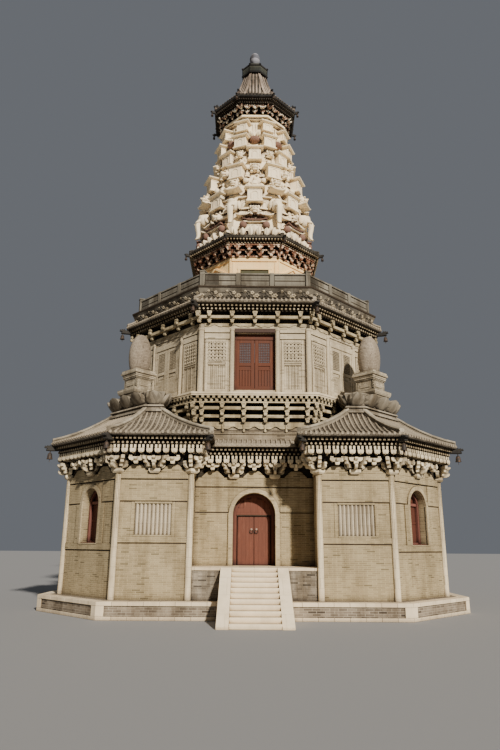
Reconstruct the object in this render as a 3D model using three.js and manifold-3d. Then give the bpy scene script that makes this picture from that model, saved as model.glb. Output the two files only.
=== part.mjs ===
// Brick flower pagoda: an octagonal tower of three storeys under a carved spire,
// with a pavilion on each diagonal side of the first storey.
// Millimetres, +Z up. The stair is at the front, towards -Y, and the origin is on the
// tower's axis at ground level.
import * as THREE from 'three';
import { mergeVertices } from 'three/addons/utils/BufferGeometryUtils.js';
import Module from 'manifold-3d';

const wasm = await Module();
wasm.setup();

// Levels
const KERB_TOP = 589;
const SLAB_BOTTOM = 1600;
const FLOOR = 1700;
const WALL_TOP = 5070;
const EAVE_TOP = 6440;
const CROWN_TOP = 7950;
const GALLERY_BOTTOM = 7250;
const GALLERY_FLOOR = 8500;
const SECOND_WALL_TOP = 11480;
const SECOND_ROOF_TOP = 12800;
const TERRACE_FLOOR = 13400;
const THIRD_WALL_TOP = 16280;
const SPIRE_BOTTOM = 17600;
const SPIRE_LOWER_TOP = 20000;
const SPIRE_MIDDLE_TOP = 22500;
const SPIRE_TOP = 25640;
const TOP_ROOF_TOP = 29480;
const COLLAR_TOP = 30450;
const JEWEL_TOP = 31500;

// Plan sizes. An apothem is the distance from the tower's axis to a flat side.
const KERB_SIDE = 8336;
const KERB_CORNER = 5387;
const PAVILION_SIDE = 7569;
const PAVILION_CORNER = 5056;
const LANDING_FRONT = 7500;
const SLAB_NOSING = 40;
const MAIN_OUTER = 5700;
const MAIN_INNER = 4400;
const PAVILION_WALL = 650;
const SECOND_OUTER = 5568;
const SECOND_INNER = 4668;
const GALLERY_EDGE = 6280;
const THIRD_OUTER = 2775;
const THIRD_INNER = 2175;
const GAP = 0.3;

const HALF_SIDE = Math.tan(Math.PI / 8);
const ROOT2 = Math.sqrt(2);
const MAIN_HALF_SIDE = HALF_SIDE * MAIN_OUTER;
const PAVILION_DIAGONAL = (PAVILION_SIDE + PAVILION_CORNER) / ROOT2;
const QUARTER = Math.PI / 2;

// Materials
const finish = (color, roughness, metalness = 0) => (
  new THREE.MeshStandardMaterial({ color, roughness, metalness })
);
const brick = finish(0xa8977c, 0.95);
const stone = finish(0xcdbda0, 0.9);
const tile = finish(0x83796a, 0.9);
const stucco = finish(0xe6d6b4, 0.92);
const redWood = finish(0x8f4a38, 0.75);
const bronze = finish(0x4a463c, 0.6, 0.6);

// Solids from three.js geometry, joined and cut
function toSolid(geometry) {
  const bare = geometry.index ? geometry.toNonIndexed() : geometry.clone();
  bare.deleteAttribute('normal');
  bare.deleteAttribute('uv');
  const merged = mergeVertices(bare, 1e-3);
  return new wasm.Manifold(new wasm.Mesh({
    numProp: 3,
    vertProperties: new Float32Array(merged.attributes.position.array),
    triVerts: new Uint32Array(merged.index.array),
  }));
}

function toGeometry(body) {
  const mesh = body.getMesh();
  const geometry = new THREE.BufferGeometry();
  geometry.setAttribute('position', new THREE.BufferAttribute(mesh.vertProperties, 3));
  geometry.setIndex(new THREE.BufferAttribute(mesh.triVerts, 1));
  return geometry;
}

function join(geometries) {
  return geometries.map(toSolid).reduce((whole, piece) => whole.add(piece));
}

function cut(body, geometries) {
  return geometries.map(toSolid).reduce((whole, piece) => whole.subtract(piece), body);
}

// A stack of outlines with the same number of corners, closed by flat caps
function loft(rings) {
  const count = rings[0].points.length;
  const positions = rings.flatMap(({ z, points }) => points.flatMap(([x, y]) => [x, y, z]));
  const index = [];
  for (let ring = 0; ring + 1 < rings.length; ring += 1) {
    for (let i = 0; i < count; i += 1) {
      const a = ring * count + i;
      const b = ring * count + ((i + 1) % count);
      index.push(a, b, b + count, a, b + count, a + count);
    }
  }
  const flat = ({ points }) => points.map(([x, y]) => new THREE.Vector2(x, y));
  const top = (rings.length - 1) * count;
  for (const [a, b, c] of THREE.ShapeUtils.triangulateShape(flat(rings[0]), [])) {
    index.push(a, c, b);
  }
  for (const [a, b, c] of THREE.ShapeUtils.triangulateShape(flat(rings.at(-1)), [])) {
    index.push(top + a, top + b, top + c);
  }
  const geometry = new THREE.BufferGeometry();
  geometry.setAttribute('position', new THREE.Float32BufferAttribute(positions, 3));
  geometry.setIndex(index);
  return geometry;
}

const prism = (points, low, high) => loft([{ z: low, points }, { z: high, points }]);

function block(x0, x1, y0, y1, z0, z1) {
  const geometry = new THREE.BoxGeometry(x1 - x0, y1 - y0, z1 - z0);
  return geometry.translate((x0 + x1) / 2, (y0 + y1) / 2, (z0 + z1) / 2);
}

function column(x, y, radius, low, high, sides = 12) {
  const geometry = new THREE.CylinderGeometry(radius, radius, high - low, sides);
  return geometry.rotateX(QUARTER).translate(x, y, (low + high) / 2);
}

// An outline in the X-Z plane, run along Y
function alongY(shape, front, back, curveSegments = 12) {
  const options = { depth: back - front, bevelEnabled: false, curveSegments };
  return new THREE.ExtrudeGeometry(shape, options).rotateX(QUARTER).translate(0, back, 0);
}

function archShape(half, low, spring) {
  const shape = new THREE.Shape();
  shape.moveTo(-half, low);
  shape.lineTo(half, low);
  shape.lineTo(half, spring);
  shape.absarc(0, spring, half, 0, Math.PI, false);
  shape.closePath();
  return shape;
}

// Outlines, anticlockwise from above
function cutSquare(side, diagonal) {
  const corner = diagonal * ROOT2 - side;
  return [[-corner, -side], [corner, -side], [side, -corner], [side, corner],
    [corner, side], [-corner, side], [-side, corner], [-side, -corner]];
}

const octagon = (apothem) => cutSquare(apothem, apothem);

const octagonLoft = (steps) => loft(steps.map(([z, apothem]) => ({ z, points: octagon(apothem) })));

// The front right pavilion's outline, moved out by offset and closed by a diagonal back
function pavilionOutline(offset, back) {
  const side = PAVILION_SIDE + offset;
  const corner = (PAVILION_DIAGONAL + offset) * ROOT2 - side;
  const recess = MAIN_HALF_SIDE - offset;
  const line = back * ROOT2;
  return [[recess, recess - line], [recess, -side], [corner, -side],
    [side, -corner], [side, -recess], [line - recess, -recess]];
}

const pagoda = new THREE.Group();

function addPiece(name, geometry, material, turns = 0) {
  const mesh = new THREE.Mesh(geometry, material);
  mesh.name = name;
  mesh.rotation.z = turns * QUARTER;
  pagoda.add(mesh);
}

// Kerb platform: stone slabs above and below a brick face that stands back
const KERB_SLAB = 125;
const KERB_SET_BACK = 40;

function kerbOutline(offset) {
  const diagonal = (KERB_SIDE + KERB_CORNER) / ROOT2;
  return cutSquare(KERB_SIDE + offset, diagonal + offset);
}

const kerbSteps = [[0, 0], [KERB_SLAB, 0], [KERB_SLAB, -KERB_SET_BACK],
  [KERB_TOP - KERB_SLAB, -KERB_SET_BACK], [KERB_TOP - KERB_SLAB, 0], [KERB_TOP, 0]];
const kerbRings = kerbSteps.map(([z, offset]) => ({ z, points: kerbOutline(offset) }));
addPiece('kerb_platform', loft(kerbRings), stone);

// Podium: solid brickwork under the tower, the pavilions and the four landings
const COLUMN_RADIUS = 115;
const pavilionCorners = [[MAIN_HALF_SIDE, -PAVILION_SIDE], [PAVILION_CORNER, -PAVILION_SIDE],
  [PAVILION_SIDE, -PAVILION_CORNER], [PAVILION_SIDE, -MAIN_HALF_SIDE]];

const turned = ([x, y], turns) => [[x, y], [-y, x], [-x, -y], [y, -x]][turns];

const podiumQuarter = [[MAIN_HALF_SIDE, -LANDING_FRONT], ...pavilionCorners,
  [LANDING_FRONT, -MAIN_HALF_SIDE]];
const podiumOutline = [0, 1, 2, 3].flatMap((turns) => podiumQuarter.map((p) => turned(p, turns)));
const podiumColumns = [0, 1, 2, 3].flatMap((turns) => pavilionCorners.map((p) => {
  const [x, y] = turned(p, turns);
  return column(x, y, COLUMN_RADIUS, KERB_TOP, SLAB_BOTTOM);
}));
const podiumBlock = prism(podiumOutline, KERB_TOP, SLAB_BOTTOM);
addPiece('podium', toGeometry(join([podiumBlock, ...podiumColumns])), brick);

// Floor slab: stone paving of the room, run out through the walls over the landings
const mitreOuter = MAIN_HALF_SIDE - GAP;
const mitreInner = HALF_SIDE * MAIN_INNER - GAP;
const slabFront = -LANDING_FRONT - SLAB_NOSING;
const slabQuarter = [[-mitreOuter, slabFront], [mitreOuter, slabFront], [mitreOuter, -MAIN_OUTER],
  [mitreInner, -MAIN_INNER]];
const slabOutline = [0, 1, 2, 3].flatMap((turns) => {
  const points = slabQuarter.map((p) => turned(p, turns));
  const next = (turns + 1) % 4;
  return [...points, turned([-mitreInner, -MAIN_INNER], next), turned([-mitreOuter, -MAIN_OUTER], next)];
});
const slabNotches = [0, 1, 2, 3].flatMap((turns) => [pavilionCorners[0], pavilionCorners[3]].map((p) => {
  const [x, y] = turned(p, turns);
  return column(x, y, COLUMN_RADIUS + 1, SLAB_BOTTOM - 1, FLOOR + 1);
}));
const slabBlock = toSolid(prism(slabOutline, SLAB_BOTTOM, FLOOR));
addPiece('floor_slab', toGeometry(cut(slabBlock, slabNotches)), stone);

// Front stair: eleven risers up to the landing, between two sloping cheek stones
const RISERS = 11;
const RISE = FLOOR / RISERS;
const TREAD = 289;
const STAIR_HALF = 820;
const CHEEK_HALF = 1210;
const stairFoot = LANDING_FRONT + SLAB_NOSING + (RISERS - 1) * TREAD;

function alongX(points, left, right) {
  const shape = new THREE.Shape(points.map(([y, z]) => new THREE.Vector2(y, z)));
  const geometry = new THREE.ExtrudeGeometry(shape, { depth: right - left, bevelEnabled: false });
  return geometry.rotateX(QUARTER).rotateZ(QUARTER).translate(left, 0, 0);
}

const stepPoints = [[-KERB_SIDE, 0], [-stairFoot, 0]];
for (let i = 1; i < RISERS; i += 1) {
  stepPoints.push([-stairFoot + (i - 1) * TREAD, i * RISE]);
  stepPoints.push([i < RISERS - 1 ? -stairFoot + i * TREAD : -LANDING_FRONT, i * RISE]);
}
stepPoints.push([-LANDING_FRONT, KERB_TOP], [-KERB_SIDE, KERB_TOP]);
addPiece('front_steps', alongX(stepPoints, -STAIR_HALF + GAP, STAIR_HALF - GAP), stone);

const CHEEK_TOE = 80;
const CHEEK_LEAD = 40;
const cheekPoints = [[-KERB_SIDE, 0], [-stairFoot - CHEEK_LEAD, 0], [-stairFoot - CHEEK_LEAD, CHEEK_TOE],
  [-LANDING_FRONT - SLAB_NOSING - GAP, FLOOR], [-LANDING_FRONT - SLAB_NOSING - GAP, SLAB_BOTTOM - GAP],
  [-LANDING_FRONT, SLAB_BOTTOM - GAP], [-LANDING_FRONT, KERB_TOP], [-KERB_SIDE, KERB_TOP]];
addPiece('stair_cheek_left', alongX(cheekPoints, -CHEEK_HALF, -STAIR_HALF), stone);
addPiece('stair_cheek_right', alongX(cheekPoints, STAIR_HALF, CHEEK_HALF), stone);

// First-storey walls on the four straight sides, mitred where they meet the pavilions
const NICHE_HALF = 840;
const NICHE_SPRING = 3645;
const NICHE_BACK = 5170;
const HEAD_HALF = 1100;
const OVERRUN = 20;

const sideWall = () => toSolid(prism([[-mitreOuter, -MAIN_OUTER], [mitreOuter, -MAIN_OUTER],
  [mitreInner, -MAIN_INNER], [-mitreInner, -MAIN_INNER]], FLOOR, WALL_TOP));

const throughArch = alongY(archShape(NICHE_HALF, FLOOR - OVERRUN, NICHE_SPRING),
  -MAIN_OUTER - OVERRUN, -MAIN_INNER + OVERRUN);
const headSpace = (shrink) => toSolid(block(-HEAD_HALF + shrink, HEAD_HALF - shrink,
  -MAIN_OUTER - OVERRUN, -MAIN_INNER + OVERRUN, NICHE_SPRING, WALL_TOP + OVERRUN));
const leftSpace = toSolid(block(-MAIN_OUTER, 0, -MAIN_OUTER - OVERRUN, -MAIN_INNER + OVERRUN,
  FLOOR - OVERRUN, WALL_TOP + OVERRUN));
const doorWall = cut(sideWall(), [throughArch]);
const jambs = doorWall.subtract(headSpace(0));
addPiece('front_wall_left', toGeometry(jambs.intersect(leftSpace)), brick);
addPiece('front_wall_right', toGeometry(jambs.subtract(leftSpace)), brick);
addPiece('front_wall_head', toGeometry(doorWall.intersect(headSpace(GAP))), brick);

const blindNiche = alongY(archShape(NICHE_HALF, FLOOR - OVERRUN, NICHE_SPRING),
  -MAIN_OUTER - OVERRUN, -NICHE_BACK);
const nicheWall = toGeometry(cut(sideWall(), [blindNiche]));
['right_wall', 'back_wall', 'left_wall'].forEach((name, i) => {
  addPiece(name, nicheWall, brick, i + 1);
});

// Front door: a timber surround with a boarded arch, and two leaves on pivot posts
const SURROUND_DEPTH = 140;
const LEAF_OPENING = 690;
const LEAF_HEAD = 3600;
const PIVOT_X = 660;
const PIVOT_RADIUS = 22;
const LEAF_THICKNESS = 50;
const LEAF_CLEARANCE = 10;
const LEAF_SET_BACK = 60;
const PIVOT_LAP = 5;
const MEETING_GAP = 8;
const surroundHalf = NICHE_HALF - GAP;
const leafBack = -NICHE_BACK + LEAF_SET_BACK + LEAF_THICKNESS;

const surroundShape = new THREE.Shape();
surroundShape.moveTo(-surroundHalf, FLOOR);
surroundShape.lineTo(-LEAF_OPENING, FLOOR);
surroundShape.lineTo(-LEAF_OPENING, LEAF_HEAD);
surroundShape.lineTo(LEAF_OPENING, LEAF_HEAD);
surroundShape.lineTo(LEAF_OPENING, FLOOR);
surroundShape.lineTo(surroundHalf, FLOOR);
surroundShape.lineTo(surroundHalf, NICHE_SPRING);
surroundShape.absarc(0, NICHE_SPRING, surroundHalf, 0, Math.PI, false);
surroundShape.closePath();
addPiece('door_surround', alongY(surroundShape, -NICHE_BACK, -NICHE_BACK + SURROUND_DEPTH), redWood);

function doorLeaf(side) {
  const inner = side * MEETING_GAP;
  const outer = side * (PIVOT_X - PIVOT_LAP);
  const board = block(Math.min(inner, outer), Math.max(inner, outer), leafBack - LEAF_THICKNESS,
    leafBack, FLOOR + LEAF_CLEARANCE, LEAF_HEAD - LEAF_CLEARANCE);
  const post = column(side * PIVOT_X, leafBack, PIVOT_RADIUS, FLOOR + GAP, LEAF_HEAD - GAP, 16);
  return toGeometry(join([board, post]));
}

addPiece('door_leaf_left', doorLeaf(-1), redWood);
addPiece('door_leaf_right', doorLeaf(1), redWood);

// Pavilions: hollow brick rooms on the diagonals, each closed behind by the tower's own wall
const WINDOW_HALF = 600;
const WINDOW_SILL = 2500;
const WINDOW_SPRING = 3970;
const BLIND_HALF = 665;
const BLIND_SILL = 2770;
const BLIND_HEAD = 3970;
const BLIND_DEPTH = 60;
const PANEL_SET_BACK = 430;
const PANEL_THICKNESS = 60;

function pavilionWall() {
  const backLine = MAIN_OUTER;
  const tower = [[HALF_SIDE * MAIN_INNER, -MAIN_INNER], [MAIN_HALF_SIDE, -MAIN_OUTER]];
  const outline = [...tower, ...pavilionCorners, [MAIN_OUTER, -MAIN_HALF_SIDE],
    [MAIN_INNER, -HALF_SIDE * MAIN_INNER]];
  const room = pavilionOutline(-PAVILION_WALL, backLine);
  const columns = pavilionCorners.map(([x, y]) => column(x, y, COLUMN_RADIUS, SLAB_BOTTOM, WALL_TOP));
  const arch = alongY(archShape(WINDOW_HALF, WINDOW_SILL, WINDOW_SPRING),
    -PAVILION_DIAGONAL - OVERRUN, -PAVILION_DIAGONAL + PAVILION_WALL + OVERRUN).rotateZ(QUARTER / 2);
  const middle = (MAIN_HALF_SIDE + PAVILION_CORNER) / 2;
  const frontBlind = block(middle - BLIND_HALF, middle + BLIND_HALF, -PAVILION_SIDE - OVERRUN,
    -PAVILION_SIDE + BLIND_DEPTH, BLIND_SILL, BLIND_HEAD);
  const sideBlind = block(PAVILION_SIDE - BLIND_DEPTH, PAVILION_SIDE + OVERRUN, -middle - BLIND_HALF,
    -middle + BLIND_HALF, BLIND_SILL, BLIND_HEAD);
  const solid = join([prism(outline, SLAB_BOTTOM, WALL_TOP), ...columns]);
  const space = prism(room, SLAB_BOTTOM - OVERRUN, WALL_TOP + OVERRUN);
  return toGeometry(cut(solid, [space, arch, frontBlind, sideBlind]));
}

function windowPanel() {
  const shape = archShape(WINDOW_HALF - GAP, WINDOW_SILL + GAP, WINDOW_SPRING);
  const front = -PAVILION_DIAGONAL + PANEL_SET_BACK;
  return alongY(shape, front, front + PANEL_THICKNESS).rotateZ(QUARTER / 2);
}

// The eave's profile: level, and how far it stands out from the wall below
const EAVE_OVERHANG = 800;
const eaveSteps = [[WALL_TOP, 60], [5330, 120], [5430, 330], [5650, 360], [5750, 560], [6000, 620],
  [6050, EAVE_OVERHANG], [EAVE_TOP, EAVE_OVERHANG]];

// Height of the hollow-curved tile slope at a distance in from the eave
const slopeHeight = (inset) => EAVE_TOP + 0.3 * inset + 0.000115 * inset * inset;

const CROWN_INSET = 2250;
const CROWN_LIP = 30;
const STEEP_INSET = 1800;
const FREE_BACK = 6320;
const eaveBack = MAIN_OUTER + GAP;

function pavilionRoof() {
  const rings = eaveSteps.map(([z, offset]) => ({ z, points: pavilionOutline(offset, eaveBack) }));
  for (const inset of [450, 900, 1350, STEEP_INSET, CROWN_INSET]) {
    const back = inset < STEEP_INSET ? eaveBack : FREE_BACK;
    rings.push({ z: slopeHeight(inset), points: pavilionOutline(EAVE_OVERHANG - inset, back) });
  }
  const crown = pavilionOutline(EAVE_OVERHANG - CROWN_INSET + CROWN_LIP, FREE_BACK);
  rings.push({ z: slopeHeight(CROWN_INSET), points: crown }, { z: CROWN_TOP, points: crown });
  return loft(rings);
}

// Stupa on each pavilion: a lotus band, a waisted square pedestal and an egg-shaped dome
const STUPA_CENTRE = 5000;
const LOTUS_TOP = 8500;
const EGG_BOTTOM = 9660;
const EGG_HEIGHT = 1710;
const EGG_RADIUS = 485;
const EGG_WIDEST = 0.42;
const EGG_FOOT_RUN = 0.68;
const EGG_RINGS = 9;
const SINK = 10;

function squareRing(z, side) {
  const middle = STUPA_CENTRE;
  const reach = side / ROOT2;
  return { z, points: [[middle - reach, -middle], [middle, -middle - reach],
    [middle + reach, -middle], [middle, -middle + reach]] };
}

function pavilionStupa() {
  const lotusFoot = EAVE_OVERHANG - CROWN_INSET;
  const lotusSteps = [[CROWN_TOP, 0], [8080, 90], [8250, 190], [8440, 250], [LOTUS_TOP, 130]];
  const lotus = loft(lotusSteps.map(([z, flare]) => (
    { z, points: pavilionOutline(lotusFoot + flare, FREE_BACK) })));
  const pedestalSteps = [[LOTUS_TOP - SINK, 1050], [8600, 1090], [8720, 1250], [8800, 1250], [8830, 900],
    [9300, 860], [9330, 960], [9460, 1000], [9500, 1100], [EGG_BOTTOM, 1100]];
  const pedestal = loft(pedestalSteps.map(([z, side]) => squareRing(z, side)));
  const profile = [new THREE.Vector2(0, EGG_BOTTOM - SINK)];
  for (let i = 0; i <= EGG_RINGS; i += 1) {
    const rise = i / EGG_RINGS;
    const run = (rise - EGG_WIDEST) / (rise > EGG_WIDEST ? 1 - EGG_WIDEST : EGG_FOOT_RUN);
    const radius = EGG_RADIUS * Math.sqrt(Math.max(0, 1 - run ** 2));
    profile.push(new THREE.Vector2(radius, EGG_BOTTOM - SINK + rise * (EGG_HEIGHT + SINK)));
  }
  profile.at(-1).x = 0;
  const egg = new THREE.LatheGeometry(profile, 16).rotateX(QUARTER);
  return toGeometry(join([lotus, pedestal, egg.translate(STUPA_CENTRE, -STUPA_CENTRE, 0)]));
}

const corners = ['front_right', 'back_right', 'back_left', 'front_left'];
const pavilionPieces = [['pavilion_wall', pavilionWall(), brick],
  ['window_panel', windowPanel(), redWood], ['pavilion_roof', pavilionRoof(), tile],
  ['stupa', pavilionStupa(), brick]];
for (const [piece, geometry, material] of pavilionPieces) {
  corners.forEach((corner, turns) => addPiece(`${corner}_${piece}`, geometry, material, turns));
}

// Main eave: the masonry over the first-storey room, with an eave between each two pavilions
// that hangs a little lower than theirs, under a plain ledge
const MAIN_DROP = 130;
const LEDGE_TOP = 6880;
const LEDGE_STAND = 60;
const BAND_STAND = 40;
const mainTop = [400, EAVE_OVERHANG].map((inset) => [slopeHeight(inset), EAVE_OVERHANG - inset]);
const mainSteps = [eaveSteps[0], ...[...eaveSteps.slice(1), ...mainTop].map(([z, offset]) => (
  [z - MAIN_DROP, Math.max(offset, LEDGE_STAND)])),
[LEDGE_TOP, LEDGE_STAND], [LEDGE_TOP, BAND_STAND], [GALLERY_BOTTOM, BAND_STAND]];
addPiece('main_eave', loft(mainSteps.map(([z, offset]) => (
  { z, points: cutSquare(MAIN_OUTER + offset, MAIN_OUTER) }))), tile);

// Gallery: the bracketed platform that carries the second storey. Each step is a level and the
// apothem there.
addPiece('gallery', octagonLoft([[GALLERY_BOTTOM, 5750], [7450, 5780], [7500, 5900], [7750, 5920],
  [7800, 6080], [8050, 6100], [8100, 6230], [8330, 6240], [8330, GALLERY_EDGE],
  [GALLERY_FLOOR, GALLERY_EDGE]]), brick);

// Second storey: a ring of wall with a door in each straight side, and engaged columns
const DOOR_HALF = 880;
const DOOR_SILL = 8750;
const DOOR_HEAD = 11300;
const CORNER_COLUMN = 120;
const BAY_COLUMN = 95;
const BAY_COLUMN_X = 975;
const DOOR_SET_BACK = 240;
const DOOR_THICKNESS = 80;

function octagonRing(outer, inner, low, high) {
  return toSolid(prism(octagon(outer), low, high)).subtract(
    toSolid(prism(octagon(inner), low - OVERRUN, high + OVERRUN)));
}

function acrossRing(outer, inner, half, low, high) {
  const hole = () => block(-half, half, -outer - OVERRUN, -inner + OVERRUN, low, high);
  return [0, 1, 2, 3].map((turns) => hole().rotateZ(turns * QUARTER));
}

function secondWall() {
  const columns = octagon(SECOND_OUTER).map(([x, y]) => (
    column(x, y, CORNER_COLUMN, GALLERY_FLOOR, SECOND_WALL_TOP)));
  for (let face = 0; face < 8; face += 1) {
    for (const x of [-BAY_COLUMN_X, BAY_COLUMN_X]) {
      const post = column(x, -SECOND_OUTER, BAY_COLUMN, GALLERY_FLOOR, SECOND_WALL_TOP, 8);
      columns.push(post.rotateZ(face * QUARTER / 2));
    }
  }
  const ring = octagonRing(SECOND_OUTER, SECOND_INNER, GALLERY_FLOOR, SECOND_WALL_TOP);
  const whole = columns.map(toSolid).reduce((wall, piece) => wall.add(piece), ring);
  return toGeometry(cut(whole, acrossRing(SECOND_OUTER, SECOND_INNER, DOOR_HALF, DOOR_SILL, DOOR_HEAD)));
}

addPiece('second_storey_wall', secondWall(), brick);
const doorFront = -SECOND_OUTER + DOOR_SET_BACK;
['front', 'right', 'back', 'left'].forEach((side, turns) => {
  const door = block(-DOOR_HALF + GAP, DOOR_HALF - GAP, doorFront, doorFront + DOOR_THICKNESS,
    DOOR_SILL + GAP, DOOR_HEAD - GAP);
  addPiece(`second_storey_door_${side}`, door, redWood, turns);
});

// Second-storey eave with its brackets, and the carved terrace over it
addPiece('second_storey_eave', octagonLoft([[SECOND_WALL_TOP, 5640], [11650, 5680], [11700, 5800],
  [11900, 5840], [11950, 5980], [12150, 6010], [12180, 6189], [12650, 6189],
  [SECOND_ROOF_TOP, 5800]]), tile);
addPiece('terrace', octagonLoft([[SECOND_ROOF_TOP, 5730], [13240, 5930], [13290, 5971], [13330, 5971],
  [13330, 5700], [TERRACE_FLOOR, 5700]]), stone);

// Parapet: panelled walling between posts
const PARAPET_OUTER = 5630;
const PARAPET_THICKNESS = 150;
const PARAPET_TOP = 14040;
const POST_TOP = 14270;
const POST_HALF = 95;
const POST_LIP = 20;
const POST_X = 740;

function parapet() {
  const middle = PARAPET_OUTER - PARAPET_THICKNESS / 2;
  const post = () => block(-POST_HALF, POST_HALF, -POST_HALF - POST_LIP, POST_HALF + POST_LIP,
    TERRACE_FLOOR, POST_TOP);
  const posts = [];
  for (let face = 0; face < 8; face += 1) {
    for (const x of [-POST_X, POST_X]) {
      posts.push(post().translate(x, -middle, 0).rotateZ(face * QUARTER / 2));
    }
    const reach = -middle / Math.cos(QUARTER / 4);
    posts.push(post().translate(0, reach, 0).rotateZ((face + 0.5) * QUARTER / 2));
  }
  const ring = octagonRing(PARAPET_OUTER, PARAPET_OUTER - PARAPET_THICKNESS, TERRACE_FLOOR, PARAPET_TOP);
  return toGeometry(posts.map(toSolid).reduce((wall, piece) => wall.add(piece), ring));
}

addPiece('parapet', parapet(), stone);

// Third storey: a small room with an open doorway in each straight side
const THIRD_DOOR_HALF = 700;
const THIRD_DOOR_HEAD = 15630;
const thirdRing = octagonRing(THIRD_OUTER, THIRD_INNER, TERRACE_FLOOR, THIRD_WALL_TOP);
addPiece('third_storey_wall', toGeometry(cut(thirdRing, acrossRing(THIRD_OUTER, THIRD_INNER,
  THIRD_DOOR_HALF, TERRACE_FLOOR - OVERRUN, THIRD_DOOR_HEAD))), stucco);
addPiece('third_storey_eave', octagonLoft([[THIRD_WALL_TOP, 2800], [16450, 2850], [16500, 2980],
  [16700, 3050], [16830, 3150], [16850, 3430], [17250, 3430], [SPIRE_BOTTOM, 3020]]), tile);

// Carved spire: a tapering core with tiers of small turrets that stagger from tier to tier
const corePoints = [[SPIRE_BOTTOM, 2700], [18400, 2600], [19600, 2530], [SPIRE_LOWER_TOP, 2480],
  [21000, 2230], [22000, 2020], [SPIRE_MIDDLE_TOP, 1920], [23500, 1730], [24500, 1570], [25350, 1480],
  [25400, 1620], [25560, 1680], [SPIRE_TOP, 1620]];

function coreApothem(z) {
  const next = corePoints.findIndex(([level]) => level >= z);
  const [z1, a1] = corePoints[next];
  const [z0, a0] = corePoints[Math.max(0, next - 1)];
  return z1 === z0 ? a1 : a0 + (a1 - a0) * (z - z0) / (z1 - z0);
}

// A turret is a small square house with a base slab and a wide cap, half sunk in the core
const TURRET_DEPTH = 900;
const FOOT_LIP = 60;
const FOOT_HEIGHT = 90;
const CAP_LIP = 90;
const CAP_HEIGHT = 110;

function turret(turn, z, width, height, reach) {
  const slab = (lip, low, high) => block(-width / 2 - lip, width / 2 + lip, -reach - lip,
    -reach + TURRET_DEPTH, low, high);
  const pieces = [slab(0, z, z + height), slab(FOOT_LIP, z, z + FOOT_HEIGHT),
    slab(CAP_LIP, z + height - CAP_HEIGHT, z + height)];
  return pieces.map((piece) => piece.rotateZ(turn * QUARTER / 2));
}

const CORNER = 0.5;
const FACE = 0;
const tiers = [
  { level: 17700, width: 900, height: 780, start: FACE, stand: 300 },
  { level: 19350, width: 760, height: 1050, start: FACE, stand: 330 },
  { level: 21050, width: 720, height: 1000, start: CORNER, stand: 240 },
  { level: 22450, width: 560, height: 900, start: FACE, stand: 200 },
  { level: 23350, width: 620, height: 850, start: CORNER, stand: 170 },
  { level: 24500, width: 500, height: 720, start: CORNER, stand: 120 },
];

function knob(turn, z, radius, reach) {
  const ball = new THREE.IcosahedronGeometry(radius, 1);
  return ball.translate(0, -reach, z).rotateZ(turn * QUARTER / 2);
}

// A beast's head and hanging trunk at each corner of the lowest tier, over a squat pier
const BEAST_LEVEL = 19300;
const BEAST_RADIUS = 400;
const TRUNK_LENGTH = 1300;
const TRUNK_STAND = 330;
const PIER_HALF = 300;
const PIER_STAND = 480;
const PIER_HEIGHT = 600;

function beast(turn) {
  const reach = coreApothem(SPIRE_LOWER_TOP) / Math.cos(QUARTER / 4);
  const head = new THREE.IcosahedronGeometry(BEAST_RADIUS, 1).scale(0.8, 1.1, 1)
    .translate(0, -reach - BEAST_RADIUS / 2, BEAST_LEVEL);
  const trunk = new THREE.CylinderGeometry(150, 190, TRUNK_LENGTH, 6).rotateX(QUARTER)
    .translate(0, -reach - TRUNK_STAND, BEAST_LEVEL - TRUNK_LENGTH / 2);
  const pier = block(-PIER_HALF, PIER_HALF, -reach - PIER_STAND, -reach + PIER_HALF,
    SPIRE_BOTTOM + SINK, SPIRE_BOTTOM + PIER_HEIGHT);
  return [head, trunk, pier].map((piece) => piece.rotateZ((turn + CORNER) * QUARTER / 2));
}

const KNOB_LEVEL = 24050;
const KNOB_RADIUS = 300;

function spireSection(low, high) {
  const levels = [low, ...corePoints.map(([z]) => z).filter((z) => z > low && z < high), high];
  const pieces = [octagonLoft(levels.map((z) => [z, coreApothem(z)]))];
  for (const { level, width, height, start, stand } of tiers) {
    for (let side = 0; side < 8; side += 1) {
      const turn = side + start;
      const middle = coreApothem(level + height / 2);
      const reach = (start === CORNER ? middle / Math.cos(QUARTER / 4) : middle) + stand;
      pieces.push(...turret(turn, level, width, height, reach));
    }
  }
  for (let side = 0; side < 8; side += 1) {
    pieces.push(knob(side, KNOB_LEVEL, KNOB_RADIUS, coreApothem(KNOB_LEVEL)));
    pieces.push(...beast(side));
  }
  const band = toSolid(prism(octagon(MAIN_INNER), low, high));
  return toGeometry(join(pieces.filter((piece) => {
    piece.computeBoundingBox();
    return piece.boundingBox.min.z < high && piece.boundingBox.max.z > low;
  })).intersect(band));
}

addPiece('spire_lower_tier', spireSection(SPIRE_BOTTOM, SPIRE_LOWER_TOP), stucco);
addPiece('spire_middle_tier', spireSection(SPIRE_LOWER_TOP, SPIRE_MIDDLE_TOP), stucco);
addPiece('spire_upper_tier', spireSection(SPIRE_MIDDLE_TOP, SPIRE_TOP), stucco);

// Top roof: brackets under a steep hollow-curved octagonal roof
const TOP_EAVE = 2305;
const TOP_EAVE_TOP = 26560;
const TOP_RUN = 1705;
const TOP_CURVE = 2.2;
const topSteps = [[SPIRE_TOP, 1650], [25800, 1720], [25850, 1880], [26000, 1950], [26050, TOP_EAVE],
  [TOP_EAVE_TOP, TOP_EAVE]];
for (const apothem of [1900, 1600, 1300, 1000, 800, 600]) {
  const share = (TOP_EAVE - apothem) / TOP_RUN;
  topSteps.push([TOP_EAVE_TOP + (TOP_ROOF_TOP - TOP_EAVE_TOP) * share ** TOP_CURVE, apothem]);
}
addPiece('top_roof', octagonLoft(topSteps), tile);

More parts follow.
